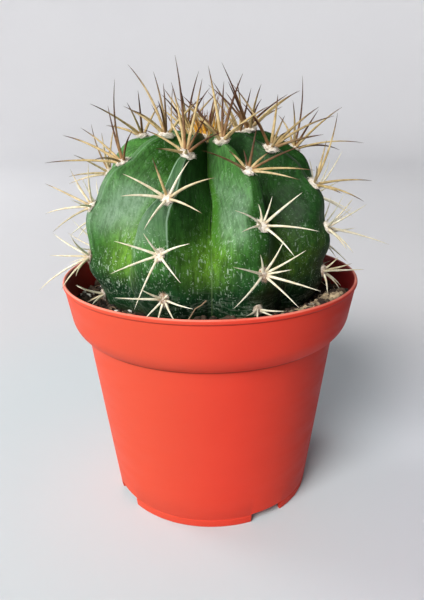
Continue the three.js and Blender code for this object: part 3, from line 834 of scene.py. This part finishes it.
def grainAndWax(r):  # fine grain and upright streaks, and a pale wax film with painted sheen on the lit faces
    fine = r.noise(r.attribute("wrap", "Vector"), 1500.0, 3.0, 0.7)
    grain = r.noise(r.stretched(r.at, (1, 1, 0.6)), 560.0, 5.0, 0.75)
    varied = r.times(r.span(fine, 0.32, 0.68, 0.70, 1.30), r.span(grain, 0.34, 0.66, 0.74, 1.28))
    r.coat(1.0, varied, "MULTIPLY")
    faces = r.times(r.span(r.furrow, 0.98, 0.66), r.span(r.furrow, 0.10, 0.48, 0.35, 1.0))
    broken = r.times(r.span(r.film, 0.34, 0.60, 0.3, 1.0), r.span(varied, 0.6, 1.3, 0.62, 1.1))
    layer(r, "waxAndSheen", faces, broken)


def crestBand(r):  # pale band along the crest above the shoulder, opening leftwards below it, with painted shadow beside it
    s = bandEdges
    climb = r.calc("DIVIDE", r.minus(r.height, s["leftFoot"]), s["leftRise"])
    edge = r.ramp(climb, *((at, (place, 0, 0)) for at, place in s["left"]))
    fromLeft = r.plus(r.across, r.channel(edge, "Red"))
    fromRight = r.minus(s["right"], r.across)
    shown = r.times(r.attribute("band"), r.span(r.furrow, 0.93, 0.85))
    inside = r.times(r.span(fromLeft, -0.01, 0.02), r.span(fromRight, -0.01, 0.02))
    layer(r, "band", inside, shown, tone=r.tones(r.streaks, skinLayers["band"][0], 0.32, 0.66))
    # painted shadow on the flank beside the band's left edge
    layer(r, "bandShadow", r.span(fromLeft, -0.07, -0.015), r.span(fromLeft, 0.0, -0.015), shown)
    lines = r.highest(*(r.span(r.away(side, 0.0), 0.022, 0.006) for side in (fromLeft, fromRight)))
    # pale lines along the band's edges, stronger on the lit side as painted light
    layer(r, "bandLine", lines, shown)


def furrowsAndFoot(r):  # fresh green beside each furrow, streaks and wrinkles low down, and painted shade in the furrows
    # shown on the lit side, painted light
    layer(r, "fresh", r.span(r.across, -0.99, -0.93), r.span(r.across, -0.72, -0.86))
    layer(r, "lowStreaks", r.span(r.streaks, 0.50, 0.78))
    folds = r.noise(r.stretched(r.at, (1, 1, 5), (18, 0, 0)), 75.0, 4.0, 0.6)
    layer(r, "wrinkles", r.span(r.away(folds, 0.5), 0.030, 0.008))
    # painted shade along the bottom of each furrow
    layer(r, "furrowShade", r.span(r.furrow, 0.95, 1.0))
    layer(r, "lowSeam", r.span(r.furrow, 0.975, 0.995))


def markMask(r, stretch, turn, scale, size, chance, shift):  # small marks, one to a cell at most
    moved = r.stretched(r.at, stretch, turn, (shift, shift * 2, -shift))
    cells = r.add("ShaderNodeTexVoronoi", {"Vector": moved, "Scale": scale}).outputs
    draw = r.channel(cells["Color"], "Green")
    strength = r.times(r.span(draw, 0.0, chance, 1.0, 0.25), r.calc("LESS_THAN", draw, chance))
    return r.times(r.span(cells["Distance"], size, size * 0.55), strength)


def skinMarks(r):  # pale flecks, short scratches and curled ones, thick low down
    s = markStyle
    curls = r.span(r.away(r.noise(r.at, 520.0, 1.0), 0.5), 0.030, 0.010, 0.0, 0.90)
    curls = r.times(curls, r.span(r.noise(r.at, 830.0, 2.0), 0.54, 0.64))
    marks = r.highest(curls, *(markMask(r, *kind) for kind in s["kinds"]))
    patchy = r.span(r.noise(r.at, 85.0), 0.36, 0.60, 0.20, 1.0)
    # fainter on the shaded side, painted shade
    return r.times(marks, patchy, r.span(r.height, *s["heights"]), r.span(r.sunny, *s["sun"]))


def skinMaterial():
    r = Recipe("waxy green skin")
    r.at = r.place()
    r.height = r.inMm(r.part(r.at, "Z"))
    r.furrow = r.attribute("furrow")
    r.across = r.attribute("across")
    r.sunny = r.span(r.attribute("sun"), *skinGreens["sun"])
    r.cloud = r.noise(r.at, 70.0, 5.0, 0.6)
    r.streaks = r.noise(r.attribute("wrap", "Vector"), 650.0, 3.0, 0.7)
    r.film = r.noise(r.stretched(r.at, (1, 1, 0.55)), 42.0, 4.0, 0.62)
    for addLayers in (greens, openFurrows, grainAndWax, crestBand, furrowsAndFoot):
        addLayers(r)
    marks = skinMarks(r)
    layer(r, "marks", marks, markStyle["strength"])
    layer(r, "earth", r.span(r.cloud, 0.35, 0.6))
    grain = r.bump(r.noise(r.at, 1900.0), 0.03, 0.5)
    relief = r.bump(marks, 0.04, 0.6, r.bump(r.streaks, 0.05, 0.35, grain))
    return r.finish(r.span(r.film, 0.3, 0.7, 0.44, 0.58), relief, 0.12, (0.06, (0.35, 1.0, 0.2), 1.0))


def makeSkin():
    s = bodyStyle
    skin = nodeCopy("cactus_body", "cactusSkin")
    editing(skin)
    faceAngle, shapeAngle = (math.radians(angle) for angle in s["quadAngles"])
    bpy.ops.mesh.tris_convert_to_quads(face_threshold=faceAngle, shape_threshold=shapeAngle)
    objectMode()
    crest = crestFinder()
    creaseRibs(skin, crest)
    applied(skin, "SUBSURF", levels=2, render_levels=2)
    shapeSkin(skin, crest)
    finishPiece(skin, s["smoothAngle"], skinMaterial(), "cactus_skin", "cactus_body")
    return skin


# Areoles: felt pads and spines
spineStyle = {
    "sides": 8,
    "steps": 9,
    # radius of a spine as a share of its root's, from root to tip
    "taper": (1.20, 1.05, 0.97, 0.89, 0.80, 0.70, 0.58, 0.45, 0.29, 0.06),
    "rootRadius": 0.43,
    "thickness": (0.88, 1.10),
    "rootSpread": 0.75,
    "seat": 0.5,
    "sagShare": (0.5, 1.1),
    "mostSag": 0.08,
    "smoothAngle": 50,
    "seed": 23,
    "tipTightness": 0.94,  # a tip in a solid is a point whose three edges lie this close to one another
    "tipLength": 1.3,
    "seatReach": 0.6,  # points of an areole's solid that lie this near the skin show its seat
}
# stoutness of the spines, swell of the felt and its age, for each level from the crown down
areoleLevels = (
    (1.10, 1.25, 0.0),
    (1.0, 1.08, 0.0),
    (0.90, 0.95, 0.0),
    (0.90, 0.95, 0.75),
    (0.90, 0.8, 0.55),
)


def spineMaster():  # one straight spine, a unit long and a unit in root radius
    s = spineStyle
    points = [(share, step / s["steps"]) for step, share in enumerate(s["taper"])]
    master = turnedPiece("spineMaster", s["sides"], points)
    closeTop()
    return master


def spineCopy(master, root, tip, outward, radius, sag, tone):
    mesh = master.data.copy()
    along = (tip - root).normalized()
    length = (tip - root).length
    bow = (outward - along * outward.dot(along)).normalized()
    frameMatrix = Matrix((bow, along.cross(bow), along)).transposed().to_4x4()
    heights = [vertex.co.z for vertex in mesh.vertices]
    for vertex, t in zip(mesh.vertices, heights):
        vertex.co.x = vertex.co.x * radius * mm + 4 * sag * length * t * (1 - t)
        vertex.co.y *= radius * mm
        vertex.co.z = t * length
    mesh.transform(Matrix.Translation(root) @ frameMatrix)
    setNumbers(mesh, "along", heights)
    setNumbers(mesh, "tone", tone)
    return newPiece("spine", mesh)


def spineLines(nodeName):  # tips and bends of a node's spines, read from its solid
    solid = bmesh.new()
    solid.from_mesh(nodes[nodeName].data)
    bmesh.ops.remove_doubles(solid, verts=solid.verts, dist=0.002 * mm)
    lines = []
    for vertex in solid.verts:
        ends = [edge.other_vert(vertex).co for edge in vertex.link_edges]
        if len(ends) != 3:
            continue
        ways = [(end - vertex.co).normalized() for end in ends]
        spread = min(ways[0].dot(ways[1]), ways[1].dot(ways[2]), ways[0].dot(ways[2]))
        nearest = min((end - vertex.co).length for end in ends)
        if spread > spineStyle["tipTightness"] and nearest > spineStyle["tipLength"] * mm:
            lines.append((vertex.co.copy(), (ends[0] + ends[1] + ends[2]) / 3))
    lines.sort(key=lambda line: azimuthOf(line[0].x, line[0].y) + line[0].z)
    solid.free()
    return lines


def areoleSeat(nodeName, skinTree):  # where an areole sits on the skin, and its way out
    near, ways = [], Vector((0, 0, 0))
    for vertex in nodes[nodeName].data.vertices:
        hit, normal, _, distance = skinTree.find_nearest(vertex.co)
        if distance < spineStyle["seatReach"] * mm:
            near.append(hit)
            ways += normal
    seat = sum(near, Vector((0, 0, 0))) / len(near)
    return skinTree.find_nearest(seat)[0], ways.normalized()


feltStyle = {
    "variants": 4,
    "lumps": ((4.5, 0.20), (13, 0.09)),  # how many across the pad, and their depth
    "hairs": 150,
    "hairBend": (0.4, 0.4, 0.3),
    "hairLength": 0.95,
    "hairSpread": (0.5, 1.3),
    "hairRadius": 0.055,
    "hairRoot": 0.47,
    "size": (3.5, 4.3, 2.0),
    "lift": 0.35,
    "seed": 100,
}


def wayAbout(way, *spreads):  # a way turned aside by chance
    return (way + Vector(random.gauss(0, spread) for spread in spreads)).normalized()


def feltMaster(number):  # a lumpy pad a unit across, furred with short bent hairs
    s = feltStyle
    width = s["size"][0]
    random.seed(s["seed"] + number)
    bpy.ops.mesh.primitive_uv_sphere_add(segments=20, ring_count=12, radius=0.5, location=(0, 0, 0))
    pad = addedPiece("feltMaster")
    applied(pad, "SUBSURF", levels=1, render_levels=1)
    shift = Vector((number * 3.1, 1.7, 0.4))
    for vertex in pad.data.vertices:
        vertex.co *= 1 + sum(noise.noise(vertex.co * size + shift) * depth for size, depth in s["lumps"])
    setNumbers(pad.data, "along", 0.0)
    bpy.ops.mesh.primitive_cone_add(vertices=3, radius1=1.0, radius2=0.0, depth=1.0, location=(0, 0, 0.5))
    hair = settle(addedPiece("hairMaster"))
    pieces = [pad]
    for _ in range(s["hairs"]):
        x, y, z = random.gauss(0, 1), random.gauss(0, 1), abs(random.gauss(0, 0.8)) + 0.05
        root = Vector((x, y, z)).normalized()
        turn = wayAbout(root, *s["hairBend"]).to_track_quat("Z", "Y").to_matrix().to_4x4()
        thickness = s["hairRadius"] / width
        length = s["hairLength"] / width * random.uniform(*s["hairSpread"])
        mesh = hair.data.copy()
        setNumbers(mesh, "along", [vertex.co.z for vertex in mesh.vertices])
        size = Matrix.Diagonal((thickness, thickness, length, 1))
        mesh.transform(Matrix.Translation(root * s["hairRoot"]) @ turn @ size)
        pieces.append(newPiece("hair", mesh))
    discard([hair])
    return joined(pieces, "feltMaster%d" % number)


feltTones = {
    "fresh": ((0.28, (0.40, 0.31, 0.21)), (0.48, (0.76, 0.69, 0.58)), (0.72, (0.92, 0.88, 0.80))),
    "aged": (0.260, 0.125, 0.055),
}


def feltMaterial():
    r = Recipe("cream felt")
    place = r.place()
    clump = r.noise(place, 900.0, 4.0, 0.65)
    r.colour = r.ramp(clump, *feltTones["fresh"])
    r.coat(r.times(r.attribute("age"), r.span(clump, 0.65, 0.35, 0.35, 1.0)), feltTones["aged"])
    r.fill(r.shader, {"Sheen Weight": 0.35, "Sheen Roughness": 0.5})
    return r.finish(0.95, r.bump(r.noise(place, 3200.0), 0.12, 0.7), 0.2)


spineTones = {
    "cream": ((0.70, 0.62, 0.41), (0.93, 0.90, 0.74)),
    "straw": ((0.36, 0.245, 0.090), (0.66, 0.52, 0.27)),
    "brown": ((0.040, 0.014, 0.007), (0.110, 0.046, 0.020)),
    "tan": ((0.150, 0.072, 0.026), (0.330, 0.190, 0.080)),
    "root": (0.360, 0.190, 0.075),
    "tipStart": (0.93, 0.38),  # where the tip turns brown, and how much sooner on a straw spine
    "tipLength": 0.34,
    # how a spine's tone is drawn: by its height, by chance and by its rib
    "strawHeights": (106, 126),
    "strawShare": 0.80,
    "chance": (-0.1, 0.22),
    "ribStraw": {"a": 0.24, "d": 0.28},
    "outward": 0.72,  # a spine that points out more than this is a middle one
    "middleStraw": 0.15,
    "brownShift": 0.65,
    "brownLevels": 2,
    "brownChance": (0.14, 0.5),  # of an outer and of a middle spine
}


def spineMaterial():
    s = spineTones
    r = Recipe("horny spine")
    place = r.place()
    along, tone = r.attribute("along"), r.attribute("tone")
    mottle = r.noise(place, 700.0)
    cream = r.tones(mottle, s["cream"], 0.3, 0.65)
    straw, brown, tan = (r.tones(mottle, s[name]) for name in ("straw", "brown", "tan"))
    dusk = r.blend(r.span(along, 0.05, 0.60), tan, brown)
    r.colour = r.blend(r.span(tone, 0.15, 0.75), cream, straw)
    r.coat(r.span(tone, 1.0, 1.4), dusk)
    start, sooner = s["tipStart"]
    tip = r.minus(along, r.span(tone, 0.0, 1.0, start, start - sooner))
    r.coat(r.span(tip, 0.0, s["tipLength"]), brown)
    r.coat(r.span(along, 0.16, 0.0, 0.0, 0.55), s["root"])
    waves = {"Vector": place, "Scale": 260.0, "Distortion": 6.0}
    rings = r.add("ShaderNodeTexWave", waves, bands_direction="Z").outputs["Fac"]
    return r.finish(0.50, r.bump(rings, 0.02, 0.4), 0.22, (0.05, (1.0, 0.7, 0.4), 0.4))


def spineTone(nodeName, root, lift):  # 0 cream, 1 straw with a brown tip, over 1 brown
    s = spineTones
    middle = lift > s["outward"]
    tone = stepUp(root.z / mm, *s["strawHeights"]) * s["strawShare"] + random.uniform(*s["chance"])
    tone += s["ribStraw"].get(nodeName[-2], 0.0)
    if int(nodeName[-1]) <= s["brownLevels"] and random.random() < s["brownChance"][middle]:
        tone += s["brownShift"]
    elif middle:
        tone += s["middleStraw"]
    return max(tone, 0.0)


def makeAreole(nodeName, masters, skinTree, felt, horn):
    s = spineStyle
    seat, out = areoleSeat(nodeName, skinTree)
    stoutness, swell, age = areoleLevels[int(nodeName[-1]) - 1]
    spines = []
    for tip, bend in spineLines(nodeName):
        root = seat + out * s["seat"] * mm
        along = (tip - root).normalized()
        lift = along.dot(out)
        root += (along - out * lift) * s["rootSpread"] * mm
        tone = spineTone(nodeName, root, lift)
        radius = s["rootRadius"] * random.uniform(*s["thickness"]) * stoutness
        sag = (bend - (root + tip) / 2).dot(out) / (tip - root).length * random.uniform(*s["sagShare"])
        spine = spineCopy(masters["spine"], root, tip, out, radius, min(max(sag, 0.0), s["mostSag"]), tone)
        clad(spine, felt, horn)
        spines.append(spine)
    pad = newPiece("felt", random.choice(masters["felt"]).data.copy())
    clad(pad, felt)
    up = (Vector((0, 0, 1)) - out * out.z).normalized()
    turned = Matrix((up.cross(out), up, out)).transposed().to_4x4()
    size = sizing(*(side * swell for side in feltStyle["size"]))
    pad.data.transform(Matrix.Translation(seat + out * feltStyle["lift"] * mm) @ turned @ size)
    setNumbers(pad.data, "age", age)
    areole = joined([pad] + spines, "spines_" + nodeName[-2:])
    finishPiece(areole, s["smoothAngle"], None, "spines_and_felt", nodeName)


def makeAreoles():
    random.seed(spineStyle["seed"])
    skinTree = surfaceTree(nodes["cactus_body"])
    masters = {"spine": spineMaster()}
    masters["felt"] = [feltMaster(number) for number in range(feltStyle["variants"])]
    felt = feltMaterial()
    horn = spineMaterial()
    for nodeName in sorted(name for name in nodes if name.startswith("areole_")):
        makeAreole(nodeName, masters, skinTree, felt, horn)
    makeCrown(masters, felt)
    discard([masters["spine"]] + masters["felt"])


# Crown: woolly dome with the youngest, orange spines
crownStyle = {
    "woolSize": (9.2, 9.2, 4.6),
    "apexRise": 2.2,
    "spineRadius": 0.38,
    "spineSag": 0.02,
    "bristles": 46,
    "bristleCircle": 3.0,
    "bristleLength": (4.5, 8.5),
    "bristleRadius": 0.34,
    "bristleLean": (0.05, 0.35),  # at the middle, and how much more at the rim
    "bristleTurn": (-25, 25),
    "thinSpines": 46,
    "thinCircle": (2.0, 7.5),
    "thinLean": (0.2, 1.25),
    "thinTurn": (-40, 40),
    "thinShift": (-20, 20),
    "thinLength": (7.0, 16.0),
    "thinRadius": 0.26,
    "turnEach": 137.5,
    "orange": ((0.80, 0.36, 0.02), (0.90, 0.55, 0.08)),
    "straw": ((0.42, 0.28, 0.095), (0.66, 0.50, 0.22)),
    "red": ((0.115, 0.022, 0.012), (0.260, 0.070, 0.030)),
    "tip": (0.110, 0.030, 0.014),
    "orangeTone": 0.0,
    "strawTone": 0.5,
    "redTone": 1.0,
}


def youngSpineMaterial():
    s = crownStyle
    r = Recipe("young orange spine")
    mottle = r.noise(r.place(), 900.0)
    tone = r.attribute("tone")
    r.colour = r.tones(mottle, s["orange"])
    r.coat(r.span(tone, 0.15, 0.35), r.tones(mottle, s["straw"]))
    r.coat(r.span(tone, 0.65, 0.85), r.tones(mottle, s["red"]))
    r.coat(r.span(r.attribute("along"), 0.45, 1.0), s["tip"])
    return r.finish(0.5, r.bump(mottle, 0.02, 0.4))


def makeCrown(masters, felt):
    s = crownStyle
    young = youngSpineMaterial()
    low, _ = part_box("crown_wool")
    cx, cy = bodyStyle["centre"]
    apex = Vector((cx * mm, cy * mm, low.z + s["apexRise"] * mm))
    up = Vector((0, 0, 1))
    straw, red, sag = s["strawTone"], s["redTone"], s["spineSag"]
    spines = []

    def addSpine(root, tip, outward, radius, sag, tone):
        spine = spineCopy(masters["spine"], root, tip, outward, radius, sag, tone)
        clad(spine, felt, young)
        spines.append(spine)

    for number, (tip, _) in enumerate(spineLines("crown_wool")):
        addSpine(apex, tip, up, s["spineRadius"], sag, red if number % 2 else straw)
    for number in range(s["thinSpines"]):
        azimuth = number * s["turnEach"] + random.uniform(*s["thinShift"])
        root = apex + around(random.uniform(*s["thinCircle"]), azimuth, -1.0) * mm
        reach = random.uniform(*s["thinLean"])
        lean = around(reach, azimuth + random.uniform(*s["thinTurn"]), 1.0).normalized()
        tip = root + lean * random.uniform(*s["thinLength"]) * mm
        addSpine(root, tip, up + lean, s["thinRadius"], sag, random.choice((straw, straw, red)))
    for number in range(s["bristles"]):
        azimuth = number * s["turnEach"]
        share = math.sqrt((number + 0.5) / s["bristles"])
        root = apex + around(s["bristleCircle"] * share, azimuth) * mm
        least, more = s["bristleLean"]
        azimuth += random.uniform(*s["bristleTurn"])
        lean = around(least + more * share, azimuth, 1.0).normalized()
        tip = root + lean * random.uniform(*s["bristleLength"]) * mm
        addSpine(root, tip, up + lean, s["bristleRadius"], 0.0, s["orangeTone"])
    wool = newPiece("wool", masters["felt"][0].data.copy())
    clad(wool, felt)
    wool.data.transform(Matrix.Translation(apex) @ sizing(*s["woolSize"]))
    crown = joined([wool] + spines, "crownTuft")
    finishPiece(crown, spineStyle["smoothAngle"], None, "crown_wool", "crown_wool")


# Soil
soilStyle = {
    "cuts": 4,
    "topHeight": 71.0,  # the solid's top surface lies above this
    "topSlope": 0.35,
    "lumps": ((3.4, 0.55), (1.1, 0.3)),  # size and depth
    "innerRadius": 36.0,
    "outerRadius": 49.2,
    "lowestGrain": 70.0,
    "castFrom": 120.0,
    "heap": (56.0, 15.0),  # middle azimuth of the grit and how far it spreads
    "heapInnerRadius": 40.0,
    "masters": 5,
    "masterSeed": 300,
    "seed": 71,
    "crumbRoughness": 0.22,
    "gritRoughness": 0.30,
    "roundness": 0.75,
    "innerMargin": 0.6,
    "margin": 0.2,  # how far past the outer radius a grain may reach
    "clearance": 0.55,  # how far from the skin a grain's middle stays, as a share of its size
    "sink": 0.22,  # how far a grain's middle lies above the soil, as a share of its size
    "smoothAngle": 40,
    "grainAngle": 45,
    "earth": ((0.3, (0.006, 0.004, 0.003)), (0.52, (0.022, 0.013, 0.008)), (0.75, (0.070, 0.044, 0.027))),
    "damp": (0.014, 0.010, 0.008),
}
# each kind of grain: its finish, how many, their sizes and their stretch
grains = {
    "peatCrumbs": ("crumbly peat", 620, (0.7, 2.1), (0.7, 1.25)),
    "pumiceGrit": ("pumice grit", 210, (0.6, 1.7), (0.75, 1.2)),
    "perliteGrains": ("white perlite", 46, (0.9, 1.9), (0.8, 1.15)),
}
# dark and light tone of each finish
grainTones = {
    "crumbly peat": ((0.005, 0.003, 0.002), (0.075, 0.045, 0.026)),
    "pumice grit": ((0.055, 0.035, 0.020), (0.480, 0.370, 0.230)),
    "white perlite": ((0.45, 0.43, 0.38), (0.88, 0.86, 0.80)),
    "dried fibre": ((0.090, 0.050, 0.028), (0.400, 0.270, 0.160)),
}


def soilMaterial():
    r = Recipe("dark potting soil")
    place = r.place()
    r.colour = r.ramp(r.noise(place, 320.0, 5.0, 0.65), *soilStyle["earth"])
    r.coat(r.span(r.noise(place, 60.0), 0.45, 0.7, 0.0, 0.5), soilStyle["damp"])
    return r.finish(0.95, r.bump(r.noise(place, 1500.0, 4.0), 0.2, 0.9), 0.25)


def grainMaterial(name):  # one tone for each grain, with a rough skin
    r = Recipe(name)
    spots = r.noise(r.place(), 1400.0, 4.0, 0.6)
    mixed = r.plus(r.times(r.attribute("tone"), 0.65), r.times(spots, 0.45))
    r.colour = r.tones(mixed, grainTones[name], 0.15, 0.85)
    return r.finish(0.9, r.bump(spots, 0.1, 0.7))


def makeSoilBed():
    s = soilStyle
    bed = nodeCopy("soil", "soilBed")
    mesh = editing(bed)
    bpy.ops.mesh.select_all(action="DESELECT")
    bpy.ops.mesh.select_mode(type="FACE")
    for face in mesh.faces:
        level = face.calc_center_median().z / mm
        face.select = face.normal.z > s["topSlope"] and level > s["topHeight"]
    bmesh.update_edit_mesh(bed.data)
    bpy.ops.mesh.subdivide(number_cuts=s["cuts"])
    objectMode()
    for vertex in bed.data.vertices:
        reach = math.hypot(vertex.co.x, vertex.co.y) / mm
        onTop = s["innerRadius"] + s["innerMargin"] <= reach <= s["outerRadius"] + s["margin"]
        if onTop and vertex.co.z >= s["topHeight"] * mm:
            lumps = sum(noise.noise(vertex.co / (size * mm)) * depth for size, depth in s["lumps"])
            vertex.co.z += lumps * mm
    finishPiece(bed, s["smoothAngle"], soilMaterial(), "potting_soil", "soil")
    return bed


def grainMaster(number, roughness):  # a rounded lump with a few dozen faces
    random.seed(soilStyle["masterSeed"] + number)
    bpy.ops.mesh.primitive_cube_add(size=1.0, location=(0, 0, 0))
    lump = addedPiece("grainMaster")
    editing(lump)
    bpy.ops.mesh.subdivide(number_cuts=1)
    bpy.ops.transform.tosphere(value=soilStyle["roundness"])
    objectMode()
    for vertex in lump.data.vertices:
        vertex.co *= 1 + random.uniform(-roughness, roughness)
    return lump


def scatter(name, masters, pickPlace):
    finish, count, sizes, squash = grains[name]
    pieces = []
    while len(pieces) < count:
        size = random.uniform(*sizes)
        place = pickPlace(size)
        if place is None:
            continue
        mesh = random.choice(masters).data.copy()
        shape = sizing(*(size * random.uniform(*squash) for _ in range(3)))
        angle = random.uniform(0, 6.28)
        axis = Vector([random.random() for _ in range(3)]).normalized()
        mesh.transform(Matrix.Translation(place) @ Matrix.Rotation(angle, 4, axis) @ shape)
        setNumbers(mesh, "tone", random.random())
        pieces.append(newPiece("grain", mesh))
    finishPiece(joined(pieces, name), soilStyle["grainAngle"], grainMaterial(finish), "potting_soil")


def groundHit(trees, place, clear):  # the soil under a place, where that keeps clear of the skin
    soilTree, skinTree = trees
    start = Vector((place.x, place.y, soilStyle["castFrom"] * mm))
    hit = soilTree.ray_cast(start, Vector((0, 0, -1)))[0]
    if hit is None or hit.z < soilStyle["lowestGrain"] * mm:
        return None
    return None if skinTree.find_nearest(hit)[3] < clear * mm else hit


fibreStyle = {
    "count": 95,
    "frontShare": 0.4,  # this share of them lies at the front left
    "frontAzimuths": (-62, -32),
    "radii": (38, 47),
    "furthest": 48.6,
    "headingSpread": 28,
    "rise": (-0.02, 0.1),
    "lengths": (2.5, 8.0),
    "curl": 0.7,
    "arch": 0.12,
    "thickness": (0.09, 0.2),
    "lift": 0.25,
    "clearances": (0.8, 0.6),  # of a fibre's foot and of its end, from the skin
    "taper": 0.5,
    "steps": 7,
    "seed": 505,
    "strandRadius": 0.21,
    "smoothAngle": 60,
    # a long dry strand that leans on the body at the front
    "strand": (
        (-10.5, -47.2, 77.4),
        (-8.6, -47.0, 79.0),
        (-7.0, -46.6, 80.2),
        (-5.6, -46.0, 82.2),
        (-4.4, -45.3, 84.0),
        (-2.6, -44.8, 84.9),
        (-1.2, -44.6, 86.2),
    ),
}


def fibreLine(root, way, length, curl):  # points of a thin dry strand that lies on the soil
    s = fibreStyle
    side = Vector((-way.y, way.x, 0))
    points = []
    for step in range(s["steps"] + 1):
        t = step / s["steps"]
        bow = math.sin(t * math.pi)
        bend = side * curl * bow + Vector((0, 0, 1)) * length * s["arch"] * bow
        points.append(root + way * length * t + bend)
    return points


def addStrand(curve, points, radius, taper):
    spline = curve.splines.new("POLY")
    spline.points.add(len(points) - 1)
    for number, point in enumerate(points):
        spline.points[number].co = (*point, 1)
        spline.points[number].radius = radius * mm * (1 - taper * number / len(points))


def makeFibres(trees):
    s = fibreStyle
    footClear, endClear = s["clearances"]
    random.seed(s["seed"])
    curve = bpy.data.curves.new("driedFibres", "CURVE")
    curve.dimensions = "3D"
    curve.bevel_depth = 1.0
    curve.bevel_resolution = 1
    curve.use_fill_caps = True
    while len(curve.splines) < s["count"]:
        azimuth = random.uniform(0, 360)
        if random.random() < s["frontShare"]:
            azimuth = random.uniform(*s["frontAzimuths"])
        hit = groundHit(trees, around(random.uniform(*s["radii"]), azimuth) * mm, footClear)
        if hit is None:
            continue
        heading = math.radians(azimuth + random.gauss(0, s["headingSpread"]))
        way = Vector((math.cos(heading), math.sin(heading), random.uniform(*s["rise"])))
        length = random.uniform(*s["lengths"]) * mm
        end = hit + way * length
        if math.hypot(end.x, end.y) > s["furthest"] * mm or groundHit(trees, end, endClear) is None:
            continue
        root = hit + Vector((0, 0, s["lift"] * mm))
        points = fibreLine(root, way, length, random.gauss(0, s["curl"]) * mm)
        addStrand(curve, points, random.uniform(*s["thickness"]), s["taper"])
    addStrand(curve, [Vector(point) * mm for point in s["strand"]], s["strandRadius"], 0.0)
    pick(newPiece("driedFibres", curve))
    bpy.ops.object.convert(target="MESH")
    strands = addedPiece("driedFibres")
    setNumbers(strands.data, "tone", 0.5)
    finishPiece(strands, s["smoothAngle"], grainMaterial("dried fibre"), "potting_soil")


def makeSoil(skin):
    s = soilStyle
    trees = surfaceTree(makeSoilBed()), surfaceTree(skin)
    crumbs = [grainMaster(number, s["crumbRoughness"]) for number in range(s["masters"])]
    grit = [grainMaster(10 + number, s["gritRoughness"]) for number in range(s["masters"])]

    def placeAt(azimuth, radius, size):
        hit = groundHit(trees, around(radius, azimuth) * mm, size * s["clearance"])
        if hit is None or radius + size / 2 > s["outerRadius"] + s["margin"]:
            return None
        return hit + Vector((0, 0, size * s["sink"] * mm))

    def anywhere(size):
        return placeAt(random.uniform(0, 360), random.uniform(s["innerRadius"], s["outerRadius"]), size)

    def onHeap(size):
        radii = s["heapInnerRadius"], s["outerRadius"]
        return placeAt(random.gauss(*s["heap"]), random.uniform(*radii), size)

    random.seed(s["seed"])
    scatter("peatCrumbs", crumbs, anywhere)
    scatter("pumiceGrit", grit, onHeap)
    scatter("perliteGrains", grit, anywhere)
    makeFibres(trees)
    discard(crumbs + grit)


makeCamera()
makeLights()
makeGround()
print("camera, lights and ground are set")
makePot()
print("pot is turned and cut")
cactusSkin = makeSkin()
print("skin is grown")
makeAreoles()
print("areoles and crown are set")
makeSoil(cactusSkin)
print("soil is laid")
